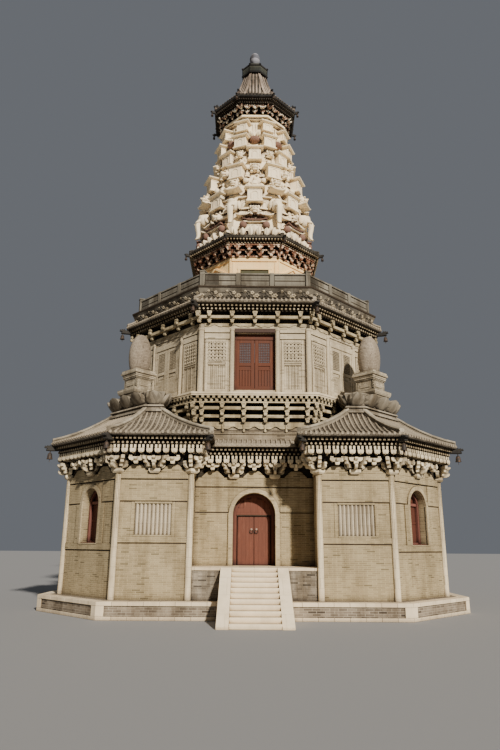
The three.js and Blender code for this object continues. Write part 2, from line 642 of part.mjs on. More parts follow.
// Finial: a dark eight-sided collar and a round jewel
addPiece('finial_collar', octagonLoft([[TOP_ROOF_TOP, 700], [29990, 740], [30300, 500],
  [COLLAR_TOP, 350]]), bronze);
const jewelProfile = [[0, COLLAR_TOP], [170, COLLAR_TOP], [120, 30600], [220, 30700], [300, 30930],
  [300, 31120], [220, 31310], [80, 31440], [0, JEWEL_TOP]];
const jewelPoints = jewelProfile.map(([r, z]) => new THREE.Vector2(r, z));
addPiece('finial_jewel', new THREE.LatheGeometry(jewelPoints, 16).rotateX(QUARTER), bronze);

export default pagoda;
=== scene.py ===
# Brick flower pagoda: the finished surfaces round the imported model.
# Metres, +Z up, the stair towards -Y, the tower's axis at the origin.
import math

import bpy
from mathutils import Matrix, Vector


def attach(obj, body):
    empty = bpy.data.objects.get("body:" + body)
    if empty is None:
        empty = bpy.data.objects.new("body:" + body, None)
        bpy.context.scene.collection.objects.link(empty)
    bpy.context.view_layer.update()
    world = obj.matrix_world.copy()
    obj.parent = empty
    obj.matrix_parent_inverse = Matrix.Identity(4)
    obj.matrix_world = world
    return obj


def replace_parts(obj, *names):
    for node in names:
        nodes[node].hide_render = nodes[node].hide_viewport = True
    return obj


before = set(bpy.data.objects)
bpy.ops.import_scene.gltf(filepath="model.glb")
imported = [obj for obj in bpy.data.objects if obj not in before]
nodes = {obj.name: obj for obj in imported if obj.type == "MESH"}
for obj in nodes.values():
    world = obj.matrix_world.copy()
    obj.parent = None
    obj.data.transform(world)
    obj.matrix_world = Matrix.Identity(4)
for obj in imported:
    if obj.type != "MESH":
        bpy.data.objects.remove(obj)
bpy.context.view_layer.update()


# The camera stands in front of the stair, a little to the left, and looks up at the tower.
# The lens and the angles were fitted to corners of the building.
CAMERA_PLACE = (-0.303, -30.026, 2.465)
PITCH, YAW, ROLL = math.radians(15.852), math.radians(0.245), math.radians(0.376)
LENS, SENSOR = 28.8, 36

bpy.ops.object.camera_add(location=CAMERA_PLACE)
camera = bpy.context.object
camera.data.lens = LENS
camera.data.sensor_width = SENSOR
camera.data.clip_end = 500
aim = (Matrix.Rotation(-YAW, 3, "Z") @ Matrix.Rotation(math.pi / 2 + PITCH, 3, "X")
       @ Matrix.Rotation(ROLL, 3, "Z"))
camera.rotation_euler = aim.to_euler()
bpy.context.scene.camera = camera


# A wide soft lamp from the right of the front, and pale light from all round.
# The floor is a plain pale plane.
KEY_TURN, KEY_HEIGHT = math.radians(23.5), math.radians(28)
KEY_STRENGTH, SKY_STRENGTH = 6.2, 0.19
bpy.ops.object.light_add(type="SUN")
key = bpy.context.object
key.data.energy = KEY_STRENGTH
key.data.angle = math.radians(3)
key.data.color = (1.0, 0.95, 0.87)
key.rotation_euler = (math.pi / 2 - KEY_HEIGHT, 0, KEY_TURN)

world = bpy.data.worlds.new("Studio")
bpy.context.scene.world = world
world.use_nodes = True
sky = world.node_tree.nodes["Background"].inputs
sky["Color"].default_value = (0.74, 0.79, 0.88, 1)
sky["Strength"].default_value = SKY_STRENGTH

bpy.ops.mesh.primitive_plane_add(size=400)
floor = bpy.context.object
floor.name = "floor"
floor_finish = bpy.data.materials.new("Pale floor")
floor_finish.use_nodes = True
floor_surface = floor_finish.node_tree.nodes["Principled BSDF"].inputs
floor_surface["Base Color"].default_value = (0.27, 0.265, 0.26, 1)
floor_surface["Roughness"].default_value = 0.9
floor.data.materials.append(floor_finish)


# Kerb platform: pale stone slabs above and below a face of dark, patched brick, with a stone
# post at each corner. The slabs are separate stones laid end to end.
KERB_TOP = 0.589
KERB_SIDE, KERB_CORNER = 8.336, 5.387
KERB_SLAB = 0.125
QUARTER = math.pi / 2
EIGHTH = math.pi / 4


def only(*pieces):
    """Selects these pieces alone, the first one active."""
    bpy.ops.object.select_all(action="DESELECT")
    for piece in pieces:
        piece.select_set(True)
    if pieces:
        bpy.context.view_layer.objects.active = pieces[0]


def named(name):
    """The object that was just added, with its place and size settled in its mesh."""
    piece = bpy.context.object
    piece.name = name
    bpy.ops.object.transform_apply(location=True, rotation=True, scale=True)
    return piece


def block(name, low, high, bevel=0.0):
    """A box between two corners, with its edges worn round."""
    only()
    middle = [(a + b) / 2 for a, b in zip(low, high)]
    size = [b - a for a, b in zip(low, high)]
    bpy.ops.mesh.primitive_cube_add(size=1, location=middle, scale=size)
    piece = named(name)
    if bevel:
        bpy.ops.object.mode_set(mode="EDIT")
        bpy.ops.mesh.bevel(offset=bevel, segments=1, affect="EDGES")
        bpy.ops.object.mode_set(mode="OBJECT")
    return piece


def join(name, pieces):
    """The pieces as one object of this name."""
    only(*pieces)
    if len(pieces) > 1:
        bpy.ops.object.join()
    piece = bpy.context.object
    piece.name = name
    return piece


def copies(name, piece, places):
    """The piece at each of the places, each copy with its own mesh, joined as one."""
    made = []
    for place in places:
        copy = piece.copy()
        copy.data = piece.data.copy()
        copy.data.transform(place)
        if place.determinant() < 0:
            copy.data.flip_normals()
        bpy.context.collection.objects.link(copy)
        made.append(copy)
    bpy.data.objects.remove(piece)
    return join(name, made)


def trim(piece, point, normal):
    """Cuts off what lies beyond the plane, and closes the cut."""
    only(piece)
    bpy.ops.object.mode_set(mode="EDIT")
    bpy.ops.mesh.select_all(action="SELECT")
    bpy.ops.mesh.bisect(plane_co=point, plane_no=normal, clear_outer=True, use_fill=True)
    bpy.ops.object.mode_set(mode="OBJECT")
    return piece


def pair(near, far):
    """The same span to the left and to the right of the middle."""
    return (-far, -near), (near, far)


def shift(x=0.0, y=0.0, z=0.0):
    """A move by these distances."""
    return Matrix.Translation((x, y, z))


def turn(angle):
    """A turn round the tower's axis."""
    return Matrix.Rotation(angle, 4, "Z")


four_sides = [turn(k * QUARTER) for k in range(4)]
four_corners = [turn(EIGHTH + k * QUARTER) for k in range(4)]


class Shade:
    """One socket of a material's nodes. Sums and products of sockets are written in Python."""

    def __init__(self, socket):
        self.socket = socket

    def node(self, kind, inputs, output=0, stops=None, **settings):
        """Adds a node to the material, sets it and its sockets, and gives one of its outputs."""
        tree = self.socket.id_data
        made = tree.nodes.new("ShaderNode" + kind)
        for name, value in settings.items():
            setattr(made, name, value)
        if stops:
            for place, colour in stops[2:]:
                made.color_ramp.elements.new(place)
            for element, (place, colour) in zip(made.color_ramp.elements, stops):
                element.position = place
                element.color = colour
        for socket_name, value in inputs.items():
            if isinstance(value, Shade):
                tree.links.new(value.socket, made.inputs[socket_name])
            else:
                made.inputs[socket_name].default_value = value
        return Shade(made.outputs[output])

    def output(self, name):
        """Another output of the node that gave this socket."""
        return Shade(self.socket.node.outputs[name])

    def maths(self, operation, first, second):
        """A Math node on two values."""
        return self.node("Math", {0: first, 1: second}, operation=operation)

    def __add__(self, other):
        return self.maths("ADD", self, other)

    def __sub__(self, other):
        return self.maths("SUBTRACT", self, other)

    def __rsub__(self, other):
        return self.maths("SUBTRACT", other, self)

    def __mul__(self, other):
        return self.maths("MULTIPLY", self, other)

    def __gt__(self, other):
        return self.maths("GREATER_THAN", self, other)

    __radd__ = __add__
    __rmul__ = __mul__

    def between(self, low, high):
        """A colour that goes from low to high as this value goes from 0 to 1."""
        return self.node("Mix", {0: self, 6: low, 7: high}, output=2, data_type="RGBA")

    def times(self, colour):
        """This colour multiplied by another."""
        return self.node("Mix", {0: 1.0, 6: self, 7: colour}, output=2,
                         data_type="RGBA", blend_type="MULTIPLY")

    def span(self, low, high):
        """0 below low, 1 above high, and smooth in between."""
        return self.node("MapRange", {0: self, 1: low, 2: high}, interpolation_type="SMOOTHSTEP")

    def cloud(self, scale, detail=3.0, rough=0.55):
        """Soft random patches over this place."""
        return self.node("TexNoise", {"Vector": self, "Scale": scale, "Detail": detail, "Roughness": rough})

    def stretched(self, x, y, z):
        """This place, scaled along each axis."""
        return self.node("VectorMath", {0: self, 1: (x, y, z)}, operation="MULTIPLY")


def start_finish(name):
    """A new material, with the place on the object and the way the surface faces."""
    material = bpy.data.materials.new(name)
    material.use_nodes = True
    where = Shade(material.node_tree.nodes.new("ShaderNodeTexCoord").outputs["Object"])
    return material, where, where.output("Normal")


def end_finish(material, colour, roughness, relief=None, depth=0.01, metal=0.0):
    """Links the colour, roughness and relief to the material's surface."""
    surface = material.node_tree.nodes["Principled BSDF"]
    tree = material.node_tree
    for name, value in (("Base Color", colour), ("Roughness", roughness), ("Metallic", metal)):
        if isinstance(value, Shade):
            tree.links.new(value.socket, surface.inputs[name])
        else:
            surface.inputs[name].default_value = value
    surface.inputs["Specular IOR Level"].default_value = 0.25
    if relief:
        bump = relief.node("Bump", {"Height": relief, "Strength": 1.0, "Distance": depth},
                           output="Normal")
        tree.links.new(bump.socket, surface.inputs["Normal"])
    return material


def rgb(red, green, blue):
    """A surface colour from its screen values of 0 to 255."""
    return tuple((value / 255) ** 2.2 for value in (red, green, blue)) + (1,)


def wall_plan(where, facing):
    """Along a wall and up it, or across a floor, in metres."""
    level = facing.node("SeparateXYZ", {0: facing}).output("Z")
    along = facing.node("VectorMath", {0: (0, 0, 1), 1: facing}, operation="CROSS_PRODUCT")
    run = where.node("VectorMath", {0: where, 1: along}, output="Value", operation="DOT_PRODUCT")
    height = where.node("SeparateXYZ", {0: where}).output("Z")
    wall = run.node("CombineXYZ", {0: run, 1: height})
    flat = level.node("Math", {0: level}, operation="ABSOLUTE") > 0.7
    return flat.node("Mix", {0: flat, 4: wall, 5: where}, output=1, data_type="VECTOR")


def open_air(where, distance, samples=6):
    """How open the surface lies: low in corners and under ledges, where the finishes paint shade."""
    return where.node("AmbientOcclusion", {"Distance": distance}, output="AO",
                      samples=samples, only_local=False)


WHITE = (1, 1, 1, 1)


def masonry(name, light, dark, mortar, course, length, joint, depth, patch=0.5, painted_shade_tone=rgb(128, 118, 108)):
    """Brick or stone laid in courses, each stone with its own tone, weathered in patches, with painted shade
    towards a dark tone in corners and under ledges.
    """
    material, where, facing = start_finish(name)
    plan = wall_plan(where, facing)
    laid = plan.node("TexBrick", {
        "Vector": plan, "Color1": WHITE, "Color2": (0, 0, 0, 1), "Mortar": (0.5, 0.5, 0.5, 1),
        "Scale": 1.0, "Mortar Size": joint, "Mortar Smooth": 0.3, "Bias": 0.0,
        "Brick Width": length, "Row Height": course})
    gap = laid.output("Fac")
    tone = laid * 0.55 + where.cloud(0.9, 4.0) * 0.8 - 0.2
    grain = where.cloud(38.0, 2.0)
    body = (tone + grain * 0.3 - 0.15).between(dark, light)
    burnt = tuple(value * 0.66 for value in dark[:3]) + (1,)
    body = ((1 - laid).span(0.93, 0.96) * 0.7).between(body, burnt)
    faced = gap.between(body, mortar)
    stain = where.stretched(1.0, 1.0, 0.25).cloud(1.6, 5.0, 0.65).span(0.32, 0.62)
    aged = (stain * patch + (1 - patch)).between(rgb(150, 140, 126), WHITE)
    # Painted shade: corners and the undersides of ledges are darkened towards the shade tone.
    painted_shade = open_air(where, 0.35).span(0.25, 0.85).between(painted_shade_tone, WHITE)
    relief = 1 - gap + grain * 0.25 + laid * 0.12
    return end_finish(material, faced.times(aged).times(painted_shade), grain * 0.12 + 0.84, relief, depth)


pale_stone = masonry("Pale stone", rgb(244, 224, 190), rgb(214, 192, 158), rgb(140, 126, 104),
                     0.9, 1.077, 0.008, 0.006, patch=0.3)
patched_brick = masonry("Patched dark brick", rgb(180, 162, 138), rgb(92, 80, 68), rgb(178, 164, 142),
                        0.085, 0.3, 0.013, 0.012, patch=0.75)


def fit(piece, material, body="tower", smooth=None):
    """Gives a finished piece its material and slot, and fastens it to its body."""
    piece.data.materials.clear()
    piece.data.materials.append(material)
    if smooth:
        only(piece)
        bpy.ops.object.shade_smooth_by_angle(angle=math.radians(smooth))
    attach(piece, body)
    return piece


def dress(node, material):
    """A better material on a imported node."""
    for place in nodes[node].material_slots:
        place.material = material


def kerb_stones(name, half, middle, count, low, high, stand):
    """A row of slabs along one side, cut to a mitre at both ends."""
    size = 2 * half / count
    front = -middle - stand
    stone = block(name, (-half + 0.003, front, low), (-half + size - 0.003, front + 0.42, high), 0.008)
    row = copies(name, stone, [shift(i * size) for i in range(count)])
    for side in (-1, 1):
        slant = (side * math.cos(EIGHTH / 2), math.sin(EIGHTH / 2), 0)
        trim(row, (side * half, -middle, 0), slant)
    return row


STONE_STAND, KERB_POST = 0.006, 0.28
kerb_diagonal = (KERB_SIDE + KERB_CORNER) / math.sqrt(2)
kerb_half = (KERB_SIDE - KERB_CORNER) / math.sqrt(2)
stones = []
for half, middle, count, places in ((KERB_CORNER, KERB_SIDE, 10, four_sides),
                                    (kerb_half, kerb_diagonal, 4, four_corners)):
    for low, high in ((0.002, KERB_SLAB), (KERB_TOP - KERB_SLAB, KERB_TOP + 0.004)):
        slabs = kerb_stones("kerb_slabs", half, middle, count, low, high, STONE_STAND)
        stones.append(copies("kerb_slabs", slabs, places))
    for left, right in pair(half - KERB_POST, half):
        post = block("kerb_post", (left, -middle, KERB_SLAB),
                     (right, -middle + 0.06, KERB_TOP - KERB_SLAB), 0.006)
        stones.append(copies("kerb_post", post, places))
fit(join("kerb_stones", stones), pale_stone)
dress("kerb_platform", patched_brick)


# Podium and first-storey walls: thin grey-brown bricks in fine courses.
# Bands and strips of brick stand a little proud and part the walls into panels.
PAVILION_SIDE, PAVILION_CORNER = 7.569, 5.056
PAVILION_DIAGONAL = (PAVILION_SIDE + PAVILION_CORNER) / math.sqrt(2)
MAIN_OUTER = 5.7
MAIN_HALF_SIDE = MAIN_OUTER * math.tan(EIGHTH / 2)
WALL_TOP = 5.07
FLOOR = 1.7
COLUMN_RADIUS = 0.118
COURSE, BRICK_LENGTH = 0.068, 0.31

wall_brick = masonry("Thin grey brick", rgb(184, 164, 128), rgb(139, 123, 93), rgb(197, 179, 141),
                     COURSE, BRICK_LENGTH, 0.009, 0.01)
landing_brick = masonry("Mottled landing brick", rgb(184, 170, 148), rgb(92, 84, 74), rgb(178, 166, 146),
                        COURSE, BRICK_LENGTH, 0.007, 0.01, patch=0.8)
arch_brick = masonry("Arch brick", rgb(202, 184, 148), rgb(164, 146, 114), rgb(174, 158, 130),
                     COURSE, 0.2, 0.004, 0.004)
smooth_brick = masonry("Rubbed brick", rgb(234, 216, 182), rgb(208, 190, 156), rgb(166, 151, 126),
                       0.34, 0.62, 0.003, 0.003)


def patchy(name, dark, light, scale, roughness, grain, depth, detail=3.0, metal=0.0, edges=None):
    """A plain finish: two tones in soft patches, over a fine grain."""
    material, where, _ = start_finish(name)
    patches = where.cloud(scale, detail)
    if edges:
        patches = patches.span(*edges)
    return end_finish(material, patches.between(dark, light), roughness, where.cloud(grain), depth, metal)


# Dark strips put where shade lies under bands, in gaps and in grooves: painted shadow.
shadow_line = patchy("Painted shadow line", rgb(44, 37, 30), rgb(78, 66, 53), 9.0, 0.95, 30.0, 0.003)

PAVILIONS = ("front_right", "back_right", "back_left", "front_left")
for node in ("podium", "front_wall_left", "front_wall_right", "front_wall_head",
             "right_wall", "back_wall", "left_wall"):
    dress(node, wall_brick)
for corner in PAVILIONS:
    dress(f"{corner}_pavilion_wall", wall_brick)

straight_middle = (MAIN_HALF_SIDE + PAVILION_CORNER) / 2
straight_half = (PAVILION_CORNER - MAIN_HALF_SIDE) / 2 - 0.1
slanted_half = (PAVILION_SIDE - PAVILION_CORNER) / math.sqrt(2) - 0.1
straight_faces = [side @ shift(x) for side in four_sides for x in (-straight_middle, straight_middle)]


def strip(left, right, plane, low, high, stand, bevel=0.006):
    """A flat piece on a wall that faces the front, standing a little out from its plane."""
    return block("strip", (left, -plane - stand, low), (right, -plane + 0.02, high), bevel)


def band(half, plane, low, high, stand):
    """A strip across a wall, from -half to half."""
    return strip(-half, half, plane, low, high, stand)


LINE = 0.045
BLIND_HALF, BLIND_SILL, BLIND_HEAD = 0.665, 2.77, 3.97
WINDOW_HALF, WINDOW_SILL, WINDOW_SPRING = 0.6, 2.5, 3.97
WINDOW_STRIP_EDGE = 0.98
UPPER_LINE, MIDDLE_LINE, SILL_LINE, LOW_LINE = 4.82, 4.02, 2.54, 2.28

face_bands = [band(straight_half, PAVILION_SIDE, low, high, stand) for low, high, stand in
              ((UPPER_LINE, WALL_TOP, 0.06), (MIDDLE_LINE, UPPER_LINE - LINE, 0.03),
               (SILL_LINE, BLIND_SILL - 0.02, 0.035))]
# The dark strips under each band are painted shadow lines.
face_lines = [band(straight_half, PAVILION_SIDE, top - LINE, top, stand) for top, stand in
              ((UPPER_LINE, 0.008), (MIDDLE_LINE, 0.006), (SILL_LINE, 0.006))]
for left, right in pair(BLIND_HALF + 0.02, BLIND_HALF + 0.14):
    face_bands.append(strip(left, right, PAVILION_SIDE, BLIND_SILL - 0.02, MIDDLE_LINE - LINE, 0.025))

slant_bands = [band(slanted_half, PAVILION_DIAGONAL, UPPER_LINE, WALL_TOP, 0.06),
               band(slanted_half, PAVILION_DIAGONAL, LOW_LINE, WINDOW_SILL, 0.04)]
slant_lines = [band(slanted_half, PAVILION_DIAGONAL, UPPER_LINE - LINE, UPPER_LINE, 0.008),
               band(slanted_half, PAVILION_DIAGONAL, LOW_LINE - LINE, LOW_LINE, 0.006)]
for left, right in pair(WINDOW_HALF + 0.2, slanted_half):
    slant_bands.append(strip(left, right, PAVILION_DIAGONAL, MIDDLE_LINE, UPPER_LINE - LINE, 0.03))
    slant_lines.append(strip(left, right, PAVILION_DIAGONAL, MIDDLE_LINE - LINE, MIDDLE_LINE, 0.006))
for left, right in pair(WINDOW_HALF + 0.12, WINDOW_STRIP_EDGE):
    slant_bands.append(strip(left, right, PAVILION_DIAGONAL, WINDOW_SILL, MIDDLE_LINE - LINE, 0.045))

NICHE_HALF, NICHE_SPRING, NICHE_BACK, NICHE_EDGE = 0.84, 3.645, 5.17, 1.03
RECESS_HALF = MAIN_HALF_SIDE - 0.01
MAIN_UPPER_LINE, MAIN_MIDDLE_LINE = 4.72, 3.73
main_bands = [band(RECESS_HALF, MAIN_OUTER, MAIN_UPPER_LINE, WALL_TOP, 0.05)]
main_lines = [band(RECESS_HALF, MAIN_OUTER, MAIN_UPPER_LINE - LINE, MAIN_UPPER_LINE, 0.006)]
for left, right in pair(NICHE_EDGE, RECESS_HALF):
    main_bands.append(strip(left, right, MAIN_OUTER, MAIN_MIDDLE_LINE, MAIN_UPPER_LINE - LINE, 0.025))
    main_lines.append(strip(left, right, MAIN_OUTER, MAIN_MIDDLE_LINE - LINE, MAIN_MIDDLE_LINE, 0.006))
for left, right in pair(NICHE_HALF + 0.01, NICHE_EDGE):
    main_bands.append(strip(left, right, MAIN_OUTER, FLOOR, MAIN_MIDDLE_LINE - LINE, 0.07))

for name, finish, pieces in (("wall_bands", wall_brick, (face_bands, slant_bands, main_bands)),
                             ("wall_shadow_lines", shadow_line, (face_lines, slant_lines, main_lines))):
    laid = [copies(name, join(name, parts), places) for parts, places in
            zip(pieces, (straight_faces, four_corners, four_sides))]
    fit(join(name, laid), finish)

LANDING_FRONT, CHEEK_HALF, SLAB_BOTTOM = 7.5, 1.215, 1.6
landing_half = MAIN_HALF_SIDE - COLUMN_RADIUS - 0.002
landing_faces = []
for turns, spans in ((four_sides[1:], ((-landing_half, landing_half),)),
                     (four_sides[:1], pair(CHEEK_HALF, landing_half))):
    for left, right in spans:
        face = block("landing_face", (left, -LANDING_FRONT - 0.014, KERB_TOP + 0.005),
                     (right, -LANDING_FRONT + 0.02, SLAB_BOTTOM - 0.001), 0.005)
        landing_faces.append(copies("landing_face", face, turns))
fit(join("landing_faces", landing_faces), landing_brick)


# Engaged columns of the pavilions: smooth round shafts that run from the kerb to the eave,
# each with a ringed neck under its bracket.
def stack(name, sides, steps, place=(0, 0), flat_out=False):
    """A solid of rising steps, each a height and a radius: a circle, extruded and resized."""
    only()
    low, radius = steps[0]
    reach = 1 / math.cos(math.pi / sides) if flat_out else 1
    bpy.ops.mesh.primitive_circle_add(vertices=sides, radius=radius * reach, fill_type="NGON",
                                      location=(0, 0, low), rotation=(0, 0, math.pi / sides))
    piece = named(name)
    bpy.ops.object.mode_set(mode="EDIT")
    for height, wide in steps[1:]:
        bpy.ops.mesh.extrude_region_move(TRANSFORM_OT_translate={"value": (0, 0, height - low)})
        if wide != radius:
            bpy.ops.transform.resize(value=(wide / radius, wide / radius, 1))
        low, radius = height, wide
    bpy.ops.mesh.select_all(action="SELECT")
    bpy.ops.mesh.normals_make_consistent(inside=False)
    bpy.ops.object.mode_set(mode="OBJECT")
    piece.data.transform(shift(place[0], place[1]))
    return piece


shaft_steps = [(KERB_TOP, 0.122), (0.66, 0.122), (0.68, COLUMN_RADIUS), (WALL_TOP - 0.06, 0.112),
               (WALL_TOP - 0.05, 0.14), (WALL_TOP, 0.14), (WALL_TOP + 0.01, 0.118), (WALL_TOP + 0.04, 0.118),
               (WALL_TOP + 0.05, 0.15), (WALL_TOP + 0.1, 0.15)]
corner_columns = [(MAIN_HALF_SIDE, -PAVILION_SIDE), (PAVILION_CORNER, -PAVILION_SIDE),
                  (PAVILION_SIDE, -PAVILION_CORNER), (PAVILION_SIDE, -MAIN_HALF_SIDE)]
shafts = [stack("column", 20, shaft_steps, place) for place in corner_columns]
fit(copies("pavilion_columns", join("column", shafts), four_sides), smooth_brick, smooth=40)


# Blind windows: nine upright bars of chalky cut brick, set on edge in a shallow recess
# between a head rail and a sill rail of the wall's own brick.
BAR_COUNT, BAR_RADIUS = 9, 0.066
bar_pitch = 2 * BLIND_HALF / BAR_COUNT
only()
bpy.ops.mesh.primitive_cylinder_add(vertices=4, radius=BAR_RADIUS, depth=BLIND_HEAD - BLIND_SILL,
                                    location=(0, -PAVILION_SIDE + 0.035, (BLIND_SILL + BLIND_HEAD) / 2))
bar = named("bar")
window_bars = copies("bars", bar, [shift((i - BAR_COUNT // 2) * bar_pitch) for i in range(BAR_COUNT)])
pale_bar = masonry("Chalky bar", rgb(222, 208, 182), rgb(190, 174, 146), rgb(150, 142, 126),
                   0.4, 2.0, 0.002, 0.003, patch=0.5)
fit(copies("blind_window_bars", window_bars, straight_faces), pale_bar)
frame_rails = []
for low, high in ((BLIND_SILL - 0.02, BLIND_SILL + 0.04), (BLIND_HEAD - 0.05, BLIND_HEAD + 0.014)):
    frame_rails.append(block("rail", (-BLIND_HALF - 0.02, -PAVILION_SIDE - 0.045, low),
                             (BLIND_HALF + 0.02, -PAVILION_SIDE + 0.06, high), 0.008))
fit(copies("window_frames", join("window_frames", frame_rails), straight_faces), wall_brick)


# Front stair: eleven worn steps of pale stone between two sloping cheek stones, which lead up
# to the stone slab of the landing.
RISERS, TREAD = 11, 0.289
RISE = FLOOR / RISERS
STAIR_HALF, STAIR_TOP = 0.82, -7.54
step_stone = masonry("Worn step stone", rgb(255, 238, 204), rgb(242, 220, 184), rgb(214, 194, 164),
                     0.9, 1.9, 0.004, 0.004, patch=0.2, painted_shade_tone=rgb(170, 156, 136))
steps = []
for i in range(RISERS):
    front = STAIR_TOP - (RISERS - 1 - i) * TREAD - 0.006
    back = min(front + TREAD + 0.12, -LANDING_FRONT)
    steps.append(block("step", (-STAIR_HALF + 0.001, front, i * RISE),
                       (STAIR_HALF - 0.001, back, (i + 1) * RISE), 0.012))
stair = fit(join("worn_steps", steps), step_stone)
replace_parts(stair, "front_steps")
for node in ("stair_cheek_left", "stair_cheek_right"):
    dress(node, step_stone)
dress("floor_slab", pale_stone)


# Arched windows of the pavilions: a rubbed-brick arch that stands proud of the wall, a deep
# reveal, and red boards with a rail across them.
def skin(name, rings):
    """A solid through rings of points, closed at both ends."""
    count = len(rings[0])
    faces = []
    for k in range(len(rings) - 1):
        for i in range(count):
            after = (i + 1) % count
            faces.append([k * count + i, k * count + after, (k + 1) * count + after, (k + 1) * count + i])
    faces += [list(range(count))[::-1], list(range((len(rings) - 1) * count, len(rings) * count))]
    mesh = bpy.data.meshes.new(name)
    mesh.from_pydata([point for ring in rings for point in ring], [], faces)
    piece = bpy.data.objects.new(name, mesh)
    bpy.context.collection.objects.link(piece)
    only(piece)
    bpy.ops.object.mode_set(mode="EDIT")
    bpy.ops.mesh.select_all(action="SELECT")
    bpy.ops.mesh.normals_make_consistent(inside=False)
    bpy.ops.object.mode_set(mode="OBJECT")
    return piece


def along_y(name, outline, front, back):
    """A solid with this outline seen from the front."""
    return skin(name, [[(x, front, z) for x, z in outline], [(x, back, z) for x, z in outline]])


def arch_line(half, sill, spring, count=14):
    """The opening's edge, up the left side, over the arch and down the right side."""
    top = [(-half * math.cos(math.pi * i / count), spring + half * math.sin(math.pi * i / count))
           for i in range(count + 1)]
    return [(-half, sill)] + top + [(half, sill)]


def arch_band(name, inner, outer, sill, spring, front, back):
    """A band that follows an arched opening: square in section, up one side and down the other."""
    rings = []
    for (x, z), (far_x, far_z) in zip(arch_line(inner, sill, spring), arch_line(outer, sill, spring)):
        rings.append([(x, front, z), (far_x, front, far_z), (far_x, back, far_z), (x, back, z)])
    return skin(name, rings)


window_arch = arch_band("window_arch", WINDOW_HALF, WINDOW_HALF + 0.15, WINDOW_SILL, WINDOW_SPRING,
                        -PAVILION_DIAGONAL - 0.05, -PAVILION_DIAGONAL + 0.05)
sill = block("sill", (-WINDOW_HALF - 0.04, -PAVILION_DIAGONAL - 0.06, WINDOW_SILL - 0.03),
             (WINDOW_HALF + 0.04, -PAVILION_DIAGONAL + 0.2, WINDOW_SILL + 0.012), 0.01)
surrounds = copies("window_surrounds", join("window_surround", [window_arch, sill]), four_corners)
fit(surrounds, arch_brick)


def timber(name, light, dark, worn):
    """Painted boards: faded red with grain along the height and worn in patches, with painted shade in
    creases and deeper corners.
    """
    material, where, facing = start_finish(name)
    plan = wall_plan(where, facing)
    grain = plan.stretched(1.0, 0.06, 1.0).cloud(34.0, 4.0, 0.6)
    fade = where.stretched(1.0, 1.0, 0.4).cloud(2.2, 4.0)
    paint = (grain * 0.6 + fade * 0.7 - 0.15).between(dark, light)
    rubbed = (grain * 0.8 + fade * 0.5).span(0.72, 0.92)
    # Painted shade: creases and the deeper corners of the boards are darkened.
    painted_shade = open_air(where, 0.12).span(0.05, 0.6).between(rgb(110, 84, 76), WHITE)
    painted_corner_shade = open_air(where, 0.3, 8).span(0.3, 0.8).between(rgb(118, 102, 96), WHITE)
    colour = (rubbed * 0.5).between(paint, worn).times(painted_shade).times(painted_corner_shade)
    return end_finish(material, colour, fade * 0.3 + 0.5, grain, 0.004)


red_timber = timber("Faded red timber", rgb(122, 73, 56), rgb(82, 50, 38), rgb(154, 112, 90))
dusty_timber = timber("Dusty window frame", rgb(138, 91, 79), rgb(104, 66, 57), rgb(182, 140, 124))
shaded_timber = timber("Shaded window boards", rgb(106, 62, 48), rgb(62, 38, 30), rgb(128, 84, 68))
BOARD_COUNT, BOARD_WIDTH = 5, 0.228
board_edge = -BOARD_COUNT * BOARD_WIDTH / 2
window_boards = []
for i in range(BOARD_COUNT):
    left = board_edge + i * BOARD_WIDTH
    window_boards.append(block("board", (left + 0.004, -PAVILION_DIAGONAL + 0.4, WINDOW_SILL + 0.02),
                               (left + 0.224, -PAVILION_DIAGONAL + 0.45, WINDOW_SPRING + 0.05), 0.005))
window_boards.append(block("rail", (-WINDOW_HALF + 0.06, -PAVILION_DIAGONAL + 0.385, 3.3),
                           (WINDOW_HALF - 0.06, -PAVILION_DIAGONAL + 0.44, 3.4), 0.006))
fit(copies("window_boards", join("window_boards", window_boards), four_corners), shaded_timber)
window_frame = [arch_band("jamb", WINDOW_HALF - 0.1, WINDOW_HALF - 0.001, WINDOW_SILL + 0.02, WINDOW_SPRING,
                          -PAVILION_DIAGONAL + 0.29, -PAVILION_DIAGONAL + 0.44)]
for low, high in ((WINDOW_SILL + 0.013, WINDOW_SILL + 0.1), (WINDOW_SPRING + 0.01, WINDOW_SPRING + 0.12)):
    window_frame.append(block("rail", (-WINDOW_HALF + 0.09, -PAVILION_DIAGONAL + 0.33, low),
                              (WINDOW_HALF - 0.09, -PAVILION_DIAGONAL + 0.44, high), 0.008))
window_frame.append(block("ledge", (-WINDOW_HALF + 0.004, -PAVILION_DIAGONAL + 0.03, WINDOW_SILL + 0.012),
                          (WINDOW_HALF - 0.004, -PAVILION_DIAGONAL + 0.36, WINDOW_SILL + 0.035), 0.004))
fit(copies("window_timbers", join("window_timbers", window_frame), four_corners), dusty_timber)
for corner in PAVILIONS:
    dress(f"{corner}_window_panel", red_timber)


# Front door: a rubbed-brick arch round the niche, red jambs and lintel, boards in the arch,
# and two boarded leaves on pivots, with an iron ring and a brass boss on each.
door_arches = arch_band("door_arches", NICHE_HALF, NICHE_HALF + 0.16, FLOOR, NICHE_SPRING,
                        -MAIN_OUTER - 0.075, -MAIN_OUTER + 0.05)
fit(copies("door_arches", door_arches, four_sides), arch_brick)

